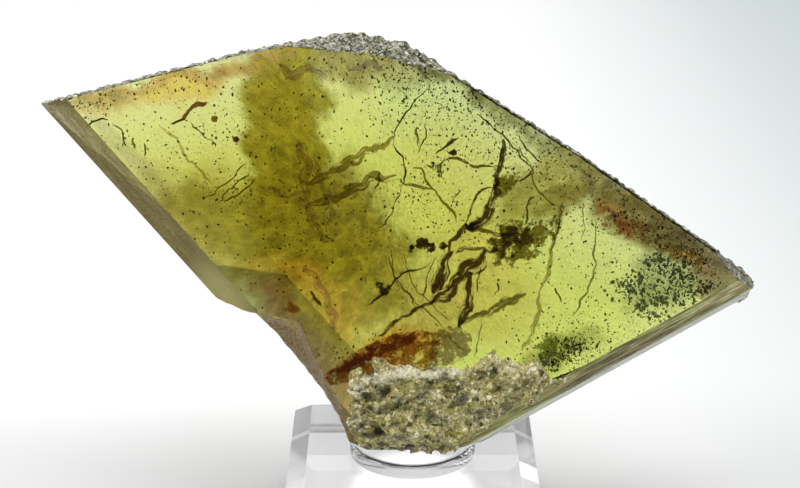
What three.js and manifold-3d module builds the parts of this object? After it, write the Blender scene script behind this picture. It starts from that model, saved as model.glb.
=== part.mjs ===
// A titanite crystal on its display stand: one flat, wedge-edged crystal with a crust of matrix on its
// lower front, standing on a round clear pad on a small bevelled acrylic block.
// Millimetres, +Z up, origin at the centre of the block's underside, the front towards -Y.
import * as THREE from 'three';
import { ConvexGeometry } from 'three/addons/geometries/ConvexGeometry.js';
import { mergeVertices } from 'three/addons/utils/BufferGeometryUtils.js';
import Module from 'manifold-3d';

// The stand
const BASE_WIDTH = 20.4;
const BASE_HEIGHT = 8;
const BASE_TOP_WIDTH = 17.2;
const TOP_BEVEL_HEIGHT = 1.4;
const FOOT_BEVEL = 0.4;
const PAD_RADIUS = 5.1;
const PAD_THICKNESS = 1.6;
const PAD_ROUNDING = 0.4;
const REST_GAP = 0.3; // what rests on another piece stays this far from it

// The specimen leans back, and is drawn in its own frame: u along the crystal, v up its face,
// w out of the face towards the viewer, with w = 0 at its sharp rim.
const LEAN = THREE.MathUtils.degToRad(12);
const SEAT_Z = BASE_HEIGHT + PAD_THICKNESS + REST_GAP;
const SEAT_Y = -1.2;
const FRONT_W = 3.3;
const BACK_W = -3.0;

// The rim's corners, anticlockwise seen from the front. A side runs from its corner to the next one,
// and leans in by `front` at the front face, or out where that is negative, and in by `back` at the
// back face. Behind the upper rim the back slopes gently, which gives the crystal its wedge shape.
const UPPER_BACK = 9;
const SIDES = [
  { name: 'lower left', corner: [-29.0, 27.1], front: 2.4, back: 5.4 },
  { name: 'lower right', corner: [-1.6, -4.5], front: 2.5, back: 2.2 },
  { name: 'right tip, below', corner: [26.3, 11.5], front: 1.3, back: UPPER_BACK },
  { name: 'right tip, above', corner: [27.2, 12.7], front: 0.9, back: UPPER_BACK },
  { name: 'upper right, outer', corner: [26.3, 13.8], front: -0.2, back: UPPER_BACK },
  { name: 'upper right, inner', corner: [12.4, 23.5], front: -0.2, back: UPPER_BACK },
  { name: 'apex, right', corner: [2.0, 30.05], front: -0.2, back: UPPER_BACK },
  { name: 'apex, middle', corner: [-0.6, 31.7], front: 1.1, back: UPPER_BACK },
  { name: 'apex, left', corner: [-3.3, 32.4], front: 1.2, back: UPPER_BACK },
  { name: 'upper left, inner', corner: [-5.4, 32.6], front: -0.05, back: UPPER_BACK },
  { name: 'upper left, outer', corner: [-13.7, 31.0], front: -0.05, back: UPPER_BACK },
];
// The narrow bright facet along the lower right rim starts this far above it.
const RIM_SLIVER = { side: 'lower right', inset: 0.4, depth: 1.1, start: 0.7 };

// The broken stretch at the lower left, from the lip down to the seat. Each point is given where the
// break meets the rim and where it meets the front face.
const BREAK = [
  { rim: [-16.2, 12.3], front: [-16.2, 12.6] },
  { rim: [-15.6, 11.6], front: [-15.5, 11.9] },
  { rim: [-14.2, 11.1], front: [-14.0, 11.5] },
  { rim: [-12.6, 10.4], front: [-12.0, 11.1] },
  { rim: [-11.1, 8.9], front: [-8.9, 10.6] },
  { rim: [-9.1, 6.4], front: [-7.6, 7.5] },
  { rim: [-7.1, 3.8], front: [-6.2, 4.4] },
  { rim: [-5.7, 1.2], front: [-5.2, 1.6] },
  { rim: [-4.4, -2.4], front: [-4.1, -2.0] },
];
const RIM_W = -0.6; // the break's rim lies a little behind the crystal's
const BREAK_BACK_INSET = 0.35;
const BREAK_REACH = 14; // how far the cutter reaches outside the crystal
// Shallow shell-shaped scoops in the break: how far along it (in points of BREAK), at what height,
// the scoop's radius, and how deep it bites.
const SCOOPS = [
  { along: 4.5, w: 1.6, radius: 6, bite: 0.2 },
  { along: 5.6, w: 1.2, radius: 7, bite: 0.16 },
  { along: 6.6, w: 1.4, radius: 6, bite: 0.14 },
  { along: 5.1, w: -1.8, radius: 7, bite: 0.2 },
  { along: 6.4, w: -1.6, radius: 6, bite: 0.16 },
];
const BREAK_OUTWARD = [-0.78, -0.62];
const BREAK_FRONT_TILT = 0.5;

// The block that the crystal is cut from, in the specimen's frame.
const BLANK_SIZE = [70, 50, 14];
const BLANK_CENTRE = [-1, 14, 0];

// Low at the front the crystal is broken away under the crust, from the seat up to its front face.
const FOOT_BREAK = { y: -2.9, outward: [0, -0.545, -0.84] };

// The etched growth on the upper sides: rows of low wedge-shaped points, larger round the apex.
const DRUSE_SPACING = 1.2;
const DRUSE_ROWS = [2.8, 1.9, 1.0, 0.1];
const DRUSE_SIDES = /upper|apex|right tip/;
const DRUSE_SIZE = { upper: 0.95, apex: 1.1, right: 0.8 };
const DRUSE_FLATNESS = 0.36;
const DRUSE_BED = 0.14; // the druse grows on a bed this far inside the rim's line
const DRUSE_PROUD = { upper: 0.2, apex: 0.26, right: 0.22 };

// The matrix crust: its outline on the crystal's face, and the lumps that fill it.
const CRUST_OUTLINE = [
  [-4.4, 1.4], [-2.6, 0.5], [3.3, 0.5], [5.2, 1.7], [6.3, 2.6], [7.4, 2.9], [8.0, 3.9], [9.8, 4.8],
  [11.1, 5.9], [10.2, 6.6], [8.0, 7.5], [6.2, 7.9], [4.9, 7.4], [4.0, 6.7], [-1.6, 7.1], [-2.4, 7.9],
  [-3.4, 7.7], [-5.0, 6.4], [-4.7, 2.6],
];
const CRUST_THICKNESS = 0.7;
const CRUST_SHEET = 3.4; // deep enough to reach down over the crystal's slanting sides
const LUMP_SPACING = 1.3;
const LUMP_RADIUS = [0.72, 1.1];
const LUMP_MARGIN = 0.32; // a lump's centre stays this far inside the outline
const CRUST_RISE = [0.25, 0.8]; // how far a lump's centre stands out of the crystal's face
const PITS = [
  { at: [-3.6, 6.75], radius: 0.7 },
  { at: [-2.3, 5.1], radius: 0.6 },
  { at: [2.6, 5.0], radius: 0.55 },
  { at: [5.2, 6.3], radius: 0.65 },
  { at: [0.4, 2.9], radius: 0.6 },
  { at: [-2.9, 2.4], radius: 0.6 },
  { at: [6.6, 5.2], radius: 0.5 },
];

const wasm = await Module();
wasm.setup();

// Each piece starts its own run of random numbers.
const SEEDS = { crystal: 20, crust: 5 };
let seed;
function random(low = 0, high = 1) {
  seed = (seed * 1664525 + 1013904223) % 4294967296;
  return low + (high - low) * (seed / 4294967296);
}

// A closed geometry as a solid that can be joined and cut.
function solidOf(geometry) {
  const bare = geometry.clone();
  for (const name of Object.keys(bare.attributes)) {
    if (name !== 'position') bare.deleteAttribute(name);
  }
  const merged = mergeVertices(bare, 1e-5);
  return new wasm.Manifold(new wasm.Mesh({
    numProp: 3,
    vertProperties: new Float32Array(merged.attributes.position.array),
    triVerts: new Uint32Array(merged.index.array),
  }));
}

function geometryOf(solid) {
  const mesh = solid.getMesh();
  const geometry = new THREE.BufferGeometry();
  geometry.setAttribute('position', new THREE.BufferAttribute(mesh.vertProperties, 3));
  geometry.setIndex(new THREE.BufferAttribute(mesh.triVerts, 1));
  geometry.computeVertexNormals();
  return geometry;
}

// Everything on the outer side of a plane, as one large block.
function blockBeyond(point, outward) {
  const size = 160;
  const block = new THREE.BoxGeometry(size, size, size);
  block.translate(0, 0, size / 2);
  const turn = new THREE.Quaternion().setFromUnitVectors(new THREE.Vector3(0, 0, 1), outward);
  block.applyQuaternion(turn);
  block.translate(point.x, point.y, point.z);
  return solidOf(block);
}

// The crystal's flat faces, each as a point and an outward normal.
function facePlanes() {
  const planes = [
    { point: new THREE.Vector3(0, 0, FRONT_W), outward: new THREE.Vector3(0, 0, 1) },
    { point: new THREE.Vector3(0, 0, BACK_W), outward: new THREE.Vector3(0, 0, -1) },
  ];
  SIDES.forEach((side, i) => {
    const next = SIDES[(i + 1) % SIDES.length];
    const start = new THREE.Vector3(...side.corner, 0);
    const along = new THREE.Vector3(...next.corner, 0).sub(start).normalize();
    const out = new THREE.Vector3(along.y, -along.x, 0);
    if (DRUSE_SIDES.test(side.name)) start.addScaledVector(out, -DRUSE_BED);
    const towards = (rise, run) => out.clone().multiplyScalar(Math.abs(rise))
      .add(new THREE.Vector3(0, 0, run * Math.sign(rise))).normalize();
    const place = { side, start, along, out, point: start };
    planes.push({ ...place, front: true, outward: towards(FRONT_W, side.front) });
    planes.push({ ...place, front: false, outward: towards(BACK_W, side.back) });
    if (side.name === RIM_SLIVER.side) {
      const edge = start.clone().addScaledVector(out, -RIM_SLIVER.inset);
      edge.z = RIM_SLIVER.start;
      planes.push({ point: edge, outward: towards(RIM_SLIVER.depth, RIM_SLIVER.inset) });
    }
  });
  return planes;
}

const PLANES = facePlanes();

// The unbroken crystal, with every face moved out by `clearance`.
function crystalForm(clearance = 0) {
  const blank = new THREE.BoxGeometry(...BLANK_SIZE);
  blank.translate(...BLANK_CENTRE);
  let form = solidOf(blank);
  for (const plane of PLANES) {
    const point = plane.point.clone().addScaledVector(plane.outward, clearance);
    form = form.subtract(blockBeyond(point, plane.outward));
  }
  return form;
}

function isInside(place) {
  return PLANES.every(({ point, outward }) => place.clone().sub(point).dot(outward) < 0);
}

// The height of the crystal's front over a point of its face.
function frontHeight(u, v) {
  let height = FRONT_W;
  for (const { point, outward } of PLANES) {
    if (outward.z <= 0.01) continue;
    const drop = (outward.x * (u - point.x) + outward.y * (v - point.y)) / outward.z;
    height = Math.min(height, point.z - drop);
  }
  return height;
}

// The volume that broke away: the break's line at four depths, closed by a wall far outside.
function breakCutter() {
  const outward = new THREE.Vector2(...BREAK_OUTWARD);
  const level = (w, place) => {
    const line = BREAK.map((point) => place(point));
    const first = line[0];
    const last = line[line.length - 1];
    const far = (p, reach) => [p[0] + outward.x * reach, p[1] + outward.y * reach];
    const ring = [far(first, BREAK_REACH), far(last, BREAK_REACH), ...line.reverse()];
    return ring.map(([u, v]) => new THREE.Vector3(u, v, w));
  };
  const inset = (p, by) => [p[0] - outward.x * by, p[1] - outward.y * by];
  const beyondFront = 2;
  const past = (rim, front) => front.map((value, i) => value + ((value - rim[i]) * beyondFront) / FRONT_W);
  const levels = [
    level(BACK_W - 2, (p) => inset(p.rim, BREAK_BACK_INSET * 1.4)),
    level(BACK_W, (p) => inset(p.rim, BREAK_BACK_INSET)),
    level(RIM_W, (p) => p.rim),
    level(FRONT_W, (p) => p.front),
    level(FRONT_W + beyondFront, (p) => past(p.rim, p.front)),
  ];
  const count = levels[0].length;
  const positions = levels.flat().flatMap((p) => [p.x, p.y, p.z]);
  const index = [];
  for (let k = 0; k + 1 < levels.length; k += 1) {
    for (let i = 0; i < count; i += 1) {
      const j = (i + 1) % count;
      const [a, b, c, d] = [k * count + i, k * count + j, (k + 1) * count + j, (k + 1) * count + i];
      index.push(a, b, c, a, c, d);
    }
  }
  const cap = (k, facingDown) => {
    const contour = levels[k].map((p) => new THREE.Vector2(p.x, p.y));
    for (const corners of THREE.ShapeUtils.triangulateShape(contour, [])) {
      const triangle = corners.map((corner) => k * count + corner);
      index.push(...(facingDown ? triangle.reverse() : triangle));
    }
  };
  cap(0, true);
  cap(levels.length - 1, false);
  const geometry = new THREE.BufferGeometry();
  geometry.setAttribute('position', new THREE.Float32BufferAttribute(positions, 3));
  geometry.setIndex(index);
  return solidOf(geometry);
}

// A place on the break's surface.
function breakPlace(along, w) {
  const index = Math.floor(along);
  const [here, next] = [BREAK[index], BREAK[index + 1]];
  const depth = Math.max(0, (w - RIM_W) / (FRONT_W - RIM_W));
  const at = (point, i) => THREE.MathUtils.lerp(point.rim[i], point.front[i], depth);
  const between = (i) => THREE.MathUtils.lerp(at(here, i), at(next, i), along - index);
  return new THREE.Vector3(between(0), between(1), w);
}

function scoopCutter({ along, w, radius, bite }) {
  const ball = new THREE.SphereGeometry(radius, 30, 20);
  const aim = new THREE.Vector3(...BREAK_OUTWARD, w > RIM_W ? BREAK_FRONT_TILT : 0).normalize();
  const centre = breakPlace(along, w).addScaledVector(aim, radius - bite);
  ball.translate(centre.x, centre.y, centre.z);
  return solidOf(ball);
}

// One low wedge-shaped point of the etched growth, lying along its side.
function drusePoint(size, along, outward, place) {
  const wedge = new THREE.OctahedronGeometry(size);
  wedge.scale(1, random(0.6, 0.9), DRUSE_FLATNESS);
  wedge.rotateZ(random(-0.5, 0.5));
  wedge.rotateX(random(-0.2, 0.2));
  const across = new THREE.Vector3().crossVectors(outward, along);
  const frame = new THREE.Matrix4().makeBasis(along, across, outward).setPosition(place);
  wedge.applyMatrix4(frame);
  return solidOf(wedge);
}

function addDruse(body) {
  let grown = body;
  const sides = PLANES.filter((plane) => plane.side && DRUSE_SIDES.test(plane.side.name));
  for (const plane of sides) {
    const kind = plane.side.name.split(/[ ,]/)[0];
    const index = SIDES.indexOf(plane.side);
    const end = new THREE.Vector3(...SIDES[(index + 1) % SIDES.length].corner, 0);
    const length = end.distanceTo(plane.start);
    const rows = DRUSE_ROWS.filter((w) => (w > 0) === plane.front);
    for (const w of rows) {
      const lean = w > 0 ? plane.side.front / FRONT_W : plane.side.back / -BACK_W;
      const inward = lean * Math.abs(w);
      for (let s = random(0.2, 0.8); s < length; s += DRUSE_SPACING * random(0.75, 1.3)) {
        const place = plane.start.clone().addScaledVector(plane.along, s);
        place.addScaledVector(plane.out, -inward);
        place.z = w;
        const scale = DRUSE_SIZE[kind] * random(0.7, 1.15);
        place.addScaledVector(plane.outward, DRUSE_PROUD[kind] - scale * DRUSE_FLATNESS);
        if (isInside(place)) grown = grown.add(drusePoint(scale, plane.along, plane.outward, place));
      }
    }
  }
  return grown;
}

function titaniteCrystal(seatCutter, footCutter) {
  seed = SEEDS.crystal;
  let body = addDruse(crystalForm());
  body = body.subtract(breakCutter()).subtract(footCutter);
  for (const scoop of SCOOPS) body = body.subtract(scoopCutter(scoop));
  return geometryOf(body.subtract(seatCutter));
}

function isInOutline(u, v, outline) {
  let inside = false;
  outline.forEach(([au, av], i) => {
    const [bu, bv] = outline[(i + 1) % outline.length];
    if ((av > v) !== (bv > v) && u < au + ((v - av) * (bu - au)) / (bv - av)) inside = !inside;
  });
  return inside;
}

function isWellInOutline(u, v, margin, outline) {
  const around = [[-margin, 0], [margin, 0], [0, -margin], [0, margin]];
  return around.every(([du, dv]) => isInOutline(u + du, v + dv, outline));
}

// A rounded, knobbly lump of the crust.
function crustLump(u, v) {
  const ball = new THREE.IcosahedronGeometry(random(...LUMP_RADIUS), 1);
  const lump = mergeVertices(ball.deleteAttribute('normal').deleteAttribute('uv'), 1e-4);
  const points = lump.attributes.position;
  for (let i = 0; i < points.count; i += 1) {
    const stretch = random(0.84, 1.16);
    points.setXYZ(i, points.getX(i) * stretch, points.getY(i) * stretch, points.getZ(i) * stretch);
  }
  lump.rotateZ(random(0, Math.PI));
  lump.translate(u, v, frontHeight(u, v) + random(...CRUST_RISE));
  return solidOf(lump);
}

function matrixCrust(seatCutter) {
  seed = SEEDS.crust;
  const shape = new THREE.Shape(CRUST_OUTLINE.map(([u, v]) => new THREE.Vector2(u, v)));
  const sheet = new THREE.ExtrudeGeometry(shape, { depth: CRUST_SHEET, bevelEnabled: false });
  sheet.translate(0, 0, FRONT_W + CRUST_THICKNESS - CRUST_SHEET);
  let crust = solidOf(sheet);
  let row = 0;
  for (let v = 0.6; v < 8; v += LUMP_SPACING * 0.87) {
    row += 1;
    for (let u = -5 + (row % 2) * LUMP_SPACING * 0.5; u < 11.2; u += LUMP_SPACING) {
      const place = [u + random(-0.3, 0.3), v + random(-0.25, 0.25)];
      if (isWellInOutline(...place, LUMP_MARGIN, CRUST_OUTLINE)) crust = crust.add(crustLump(...place));
    }
  }
  for (const { at, radius } of PITS) {
    const pit = new THREE.IcosahedronGeometry(radius, 1);
    pit.translate(...at, frontHeight(...at) + 0.95);
    crust = crust.subtract(solidOf(pit));
  }
  return geometryOf(crust.subtract(crystalForm(REST_GAP)).subtract(seatCutter));
}

function supportPad() {
  const bottom = BASE_HEIGHT + REST_GAP;
  const top = BASE_HEIGHT + PAD_THICKNESS;
  const profile = [new THREE.Vector2(0, bottom), new THREE.Vector2(PAD_RADIUS - 0.15, bottom)];
  profile.push(new THREE.Vector2(PAD_RADIUS, bottom + 0.15));
  const steps = 4;
  for (let i = 0; i <= steps; i += 1) {
    const angle = (i / steps) * (Math.PI / 2);
    profile.push(new THREE.Vector2(
      PAD_RADIUS - PAD_ROUNDING + PAD_ROUNDING * Math.cos(angle),
      top - PAD_ROUNDING + PAD_ROUNDING * Math.sin(angle),
    ));
  }
  profile.push(new THREE.Vector2(0, top));
  const pad = new THREE.LatheGeometry(profile, 48);
  pad.rotateX(Math.PI / 2);
  return geometryOf(solidOf(pad));
}

function acrylicBase() {
  const square = (half, z) => [[-1, -1], [1, -1], [1, 1], [-1, 1]]
    .map(([x, y]) => new THREE.Vector3(x * half, y * half, z));
  return new ConvexGeometry([
    ...square(BASE_WIDTH / 2 - FOOT_BEVEL, 0),
    ...square(BASE_WIDTH / 2, FOOT_BEVEL),
    ...square(BASE_WIDTH / 2, BASE_HEIGHT - TOP_BEVEL_HEIGHT),
    ...square(BASE_TOP_WIDTH / 2, BASE_HEIGHT),
  ]);
}

function piece(name, geometry, colour, roughness) {
  const material = new THREE.MeshStandardMaterial({ color: colour, roughness, flatShading: true });
  const mesh = new THREE.Mesh(geometry, material);
  mesh.name = name;
  return mesh;
}

const specimen = new THREE.Group();
specimen.position.set(0, SEAT_Y, SEAT_Z);
specimen.rotation.x = Math.PI / 2 - LEAN;
specimen.updateMatrix();

// The level of the seat, cut flat through the leaning specimen.
const intoSpecimen = specimen.matrix.clone().invert();
const seatPoint = new THREE.Vector3(0, SEAT_Y, SEAT_Z).applyMatrix4(intoSpecimen);
const seatDown = new THREE.Vector3(0, 0, -1).transformDirection(intoSpecimen);
const seatCutter = blockBeyond(seatPoint, seatDown);
const footPoint = new THREE.Vector3(0, FOOT_BREAK.y, SEAT_Z).applyMatrix4(intoSpecimen);
const footOutward = new THREE.Vector3(...FOOT_BREAK.outward).transformDirection(intoSpecimen);
const footCutter = blockBeyond(footPoint, footOutward);

specimen.add(piece('titanite_crystal', titaniteCrystal(seatCutter, footCutter), '#a3a637', 0.12));
specimen.add(piece('matrix_crust', matrixCrust(seatCutter), '#8f8c66', 0.85));

const model = new THREE.Group();
model.add(specimen);
model.add(piece('support_pad', supportPad(), '#eef1f0', 0.1));
model.add(piece('acrylic_base', acrylicBase(), '#e6eaea', 0.06));

export default model;
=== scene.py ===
import bmesh
import bpy
import math
from mathutils import Matrix, Vector, noise
from mathutils.bvhtree import BVHTree


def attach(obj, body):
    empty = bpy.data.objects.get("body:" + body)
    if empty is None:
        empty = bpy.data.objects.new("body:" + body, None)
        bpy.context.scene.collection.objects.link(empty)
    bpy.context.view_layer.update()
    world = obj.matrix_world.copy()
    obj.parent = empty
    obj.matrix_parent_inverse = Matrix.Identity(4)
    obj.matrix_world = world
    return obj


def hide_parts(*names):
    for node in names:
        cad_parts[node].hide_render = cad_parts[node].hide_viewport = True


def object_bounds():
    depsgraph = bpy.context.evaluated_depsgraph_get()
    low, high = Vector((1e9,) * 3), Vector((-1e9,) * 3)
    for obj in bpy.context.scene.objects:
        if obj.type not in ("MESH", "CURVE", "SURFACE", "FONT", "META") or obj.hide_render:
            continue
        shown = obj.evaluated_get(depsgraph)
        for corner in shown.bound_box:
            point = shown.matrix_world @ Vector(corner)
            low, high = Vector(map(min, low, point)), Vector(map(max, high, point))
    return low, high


# A titanite crystal standing on its small display stand. Lengths are in millimetres until a mesh is
# finished, and are then turned to metres.
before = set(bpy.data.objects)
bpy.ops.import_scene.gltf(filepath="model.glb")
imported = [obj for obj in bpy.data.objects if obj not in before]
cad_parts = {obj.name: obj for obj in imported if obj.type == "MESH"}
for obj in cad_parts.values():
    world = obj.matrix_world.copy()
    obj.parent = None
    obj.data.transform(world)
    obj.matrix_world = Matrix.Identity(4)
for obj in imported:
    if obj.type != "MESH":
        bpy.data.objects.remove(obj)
cad_low, cad_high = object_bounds()

MM = 0.001

# The specimen's own frame: u along the crystal, v up its face, w out of the face towards the front,
# with w = 0 at its sharp rim. It leans back on its seat.
LEAN = math.radians(12)
UPRIGHT = math.pi / 2 - LEAN
SEAT = Vector((0, -1.2, 9.9))
FRONT_W = 3.3
BACK_W = -3.0
TO_WORLD = Matrix.Translation(SEAT * MM) @ Matrix.Rotation(UPRIGHT, 4, "X") @ Matrix.Scale(MM, 4)
TO_SPECIMEN = TO_WORLD.inverted()
INTO_CRYSTAL = TO_WORLD.to_3x3() @ Vector((0, 0, -1))

# Titanite bends light strongly; the plastics are the usual clear ones.
TITANITE_IOR = 1.9
ACRYLIC_IOR = 1.49
SILICONE_IOR = 1.41

# A line of sight from the front sinks a little as it goes through the crystal, so what lies on one
# line is moved along this slant from the level w = DATUM_W.
DEPTH_SLANT = 0.09
DATUM_W = 1.0


# ---------------------------------------------------------------- small helpers

def linear(colour):
    """A #rrggbb colour as linear red, green and blue."""
    values = [int(colour[i:i + 2], 16) / 255 for i in (1, 3, 5)]
    return tuple(c / 12.92 if c <= 0.04045 else ((c + 0.055) / 1.055) ** 2.4 for c in values)


def add(tree, kind, inputs=None, **settings):
    """Adds a node with its settings; each input is a value or the socket that feeds it."""
    made = tree.nodes.new(kind)
    for name, value in settings.items():
        setattr(made, name, value)
    for key, value in (inputs or {}).items():
        if isinstance(value, bpy.types.NodeSocket):
            tree.links.new(value, made.inputs[key])
        else:
            made.inputs[key].default_value = value
    return made


def new_material(name):
    material = bpy.data.materials.new(name)
    material.use_nodes = True
    material.node_tree.nodes.clear()
    return material, material.node_tree


def specimen_coordinates(tree):
    """Object coordinates turned into the specimen's own u, v and w in millimetres."""
    place = add(tree, "ShaderNodeTexCoord").outputs["Object"]
    return add(tree, "ShaderNodeMapping", {
        "Vector": place,
        "Location": SEAT * MM,
        "Rotation": (UPRIGHT, 0, 0),
        "Scale": (MM, MM, MM),
    }, vector_type="TEXTURE").outputs[0]


def mesh_object(name, mesh, *materials):
    piece = bpy.data.objects.new(name, mesh)
    bpy.context.scene.collection.objects.link(piece)
    for material in materials:
        mesh.materials.append(material)
    return piece


def finish_piece(piece, slot, *nodes):
    """Puts a finished piece on the body, in place of the CAD nodes it stands for."""
    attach(piece, "root")
    if nodes:
        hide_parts(*nodes)


def with_nodes_applied(piece, tree, values):
    """Runs a geometry tree on a piece and leaves the result as its plain mesh."""
    modifier = piece.modifiers.new("nodes", "NODES")
    modifier.node_group = tree
    for socket in tree.interface.items_tree:
        if socket.in_out == "INPUT" and socket.name in values:
            modifier[socket.identifier] = values[socket.name]
    depsgraph = bpy.context.evaluated_depsgraph_get()
    shown = piece.evaluated_get(depsgraph)
    mesh = bpy.data.meshes.new_from_object(shown, preserve_all_data_layers=True, depsgraph=depsgraph)
    piece.modifiers.clear()
    piece.data = mesh
    return piece


# ---------------------------------------------------------------- titanite

CLEAR_YELLOW_GREEN = "#DDE57A"
# What 7 mm of the clear crystal lets through gives the absorption per metre.
ABSORPTION_COLOUR = (0.843, 0.878, 0.0)
ABSORPTION_DENSITY = 290.0

# Colour zones of the crystal, as seen against white: centre (u, v), half lengths, turn in degrees,
# softness, colour, strength.
ZONES = [
    ((15, 13), (20, 20), 0, 0.5, "#D2DF8C", 1.0),
    ((-20.9, 22.3), (6.4, 0.62), -47.5, 0.1, "#C8CA74", 0.8),
    ((-15.5, 18), (6.0, 5), 0, 0.5, "#C6C45A", 0.9),
    ((-3, 30.2), (9, 1.6), -6, 0.6, "#8E8A38", 0.85),
    ((7.2, 26.5), (6.8, 0.5), -32.2, 0.11, "#A0A65C", 0.75),
    ((19.4, 18.4), (8.8, 0.5), -34.9, 0.11, "#5C562E", 0.82),
    ((2.6, 26.4), (5.0, 2.6), -20, 0.6, "#C4DC78", 0.8),
    ((3, 20), (6, 7), 0, 0.5, "#CBCF62", 0.7),
    ((1.0, 10.9), (3.8, 2.4), 18, 0.5, "#AC9C42", 0.8),
    ((-2.6, 7.6), (4.8, 1.4), 14, 0.4, "#B49232", 0.9),
    ((6.4, 11.8), (3.4, 2.8), 0, 0.6, "#C2BC56", 0.7),
    ((4.6, 15.6), (3.2, 3.0), 0, 0.6, "#BEB44E", 0.6),
    ((-9.9, 25.6), (3.3, 7.0), 0, 0.16, "#969224", 0.95),
    ((-9.8, 22.0), (2.6, 8.5), 4, 0.25, "#8E8418", 0.95),
    ((-12.6, 17.6), (8.6, 3.0), -20, 0.35, "#968C2A", 0.9),
    ((-7.4, 18.0), (5.6, 5.2), -20, 0.3, "#7C7010", 0.95),
    ((-3.8, 13.8), (4.6, 3.4), 30, 0.4, "#857A18", 0.9),
    ((-16.6, 13.4), (3.4, 1.8), -40, 0.4, "#968A30", 0.8),
    ((-9.6, 13.0), (3.4, 2.0), 10, 0.4, "#A07E20", 0.85),
    ((-7.0, 10.4), (3.4, 3.0), 0, 0.45, "#AE9636", 0.9),
    ((-12.4, 14.6), (2.0, 1.0), 20, 0.5, "#AE9C34", 0.9),
    ((-7.4, 12.4), (1.3, 1.2), 0, 0.5, "#B4A43A", 0.7),
    ((-10.6, 12.2), (1.5, 0.8), -30, 0.4, "#A86A18", 0.7),
    ((-8.8, 11.6), (0.7, 1.8), 20, 0.5, "#C8B848", 0.6),
    ((-20.2, 28.0), (5.8, 1.2), 12, 0.5, "#D9CF66", 1.0),
    ((-18.2, 28.5), (2.8, 0.7), 12, 0.6, "#E4CC4C", 0.95),
    ((-16.6, 29.7), (8.0, 0.5), 14, 0.6, "#B49C40", 0.85),
    ((-23.6, 27.6), (2.2, 0.9), 12, 0.6, "#A8963E", 0.75),
    ((-13.8, 29.9), (2.2, 0.9), 12, 0.5, "#A88C34", 0.7),
    ((-7.9, 6.4), (2.2, 8), 33, 0.35, "#A08748", 0.9),
    ((10.8, 21.4), (2.3, 5.2), -56, 0.3, "#8E8C2E", 0.85),
    ((11.6, 19.8), (1.2, 1.8), -40, 0.5, "#7A7420", 0.8),
    ((7.6, 26.2), (6.6, 0.8), -32, 0.6, "#868C3C", 0.85),
    ((3.0, 29.0), (3.6, 0.35), -26, 0.7, "#565420", 0.8),
    ((15.2, 20.7), (2.8, 1.0), -34, 0.5, "#7A7630", 0.85),
    ((17.2, 18.3), (5.0, 1.5), -34, 0.5, "#6C6420", 0.9),
    ((21.2, 16.0), (4.2, 1.1), -35, 0.5, "#605824", 0.95),
    ((15.0, 19.2), (1.1, 0.4), -30, 0.6, "#8E6A22", 0.75),
    ((16.3, 17.9), (0.7, 0.5), -30, 0.6, "#7E5420", 0.75),
    ((18.9, 14.9), (1.4, 0.8), 10, 0.7, "#828C4A", 0.7),
    ((19.4, 12.6), (2.6, 1.5), 20, 0.6, "#8C9A52", 0.8),
    ((17.4, 13.2), (1.0, 1.0), 0, 0.7, "#98A65C", 0.5),
    ((21.0, 15.2), (1.3, 0.6), -20, 0.5, "#A89236", 0.7),
    ((22.4, 14.4), (0.9, 0.4), -40, 0.6, "#966A30", 0.7),
    ((24.0, 13.2), (2.8, 1.7), -35, 0.4, "#7C743C", 0.85),
    ((11.6, 7.6), (3.2, 0.9), 24, 0.5, "#8A8C40", 0.7),
]
# Zones softer than this wander like clouds; the others keep a straight edge.
STRAIGHT_EDGE = 0.12
# How many spots of each pattern lie in a millimetre, and how far the clouds wander.
CLOUD_SPOTS = 0.26
CLOUD_REACH = 6.0
MOTTLE_SPOTS = 0.9
FINE_SPOTS = 4.2

FACE_ROUGHNESS = 0.015
DRUSE_ROUGHNESS = 0.1
BREAK_ROUGHNESS = 0.15
DRUSE_HAZE = 0.45  # the share of light that the etched points scatter

# The etched points' tones, and how wide one is. The olive cast is their own colour; the spread from
# dark to near-white is painted glints and shade. The real ones are finer, and are drawn this coarse so
# that they show.
DRUSE_GLINT_AND_SHADE_TONES = ["#2A2810", "#706C3C", "#3C3A1C", "#A8A674", "#8C8A50", "#D8D6B2", "#504C26", "#F2F0D6"]
DRUSE_POINT = 0.24


def stepped_tones(tree, level, colours):
    """Even steps of colour for a level from 0 to 1, so that each grain or line keeps one tone."""
    ramp = add(tree, "ShaderNodeValToRGB", {0: level})
    ramp.color_ramp.interpolation = "CONSTANT"
    stops = ramp.color_ramp.elements
    for i, colour in enumerate(colours):
        stop = stops[i] if i < 2 else stops.new(1.0)
        stop.position = i / len(colours)
        stop.color = (*linear(colour), 1)
    return ramp.outputs[0]


def over_clear(colour):
    """The tint that turns the clear crystal's colour into this one."""
    return tuple(min(1.0, c / max(k, 1e-4)) for c, k in zip(linear(colour), linear(CLEAR_YELLOW_GREEN)))


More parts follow.
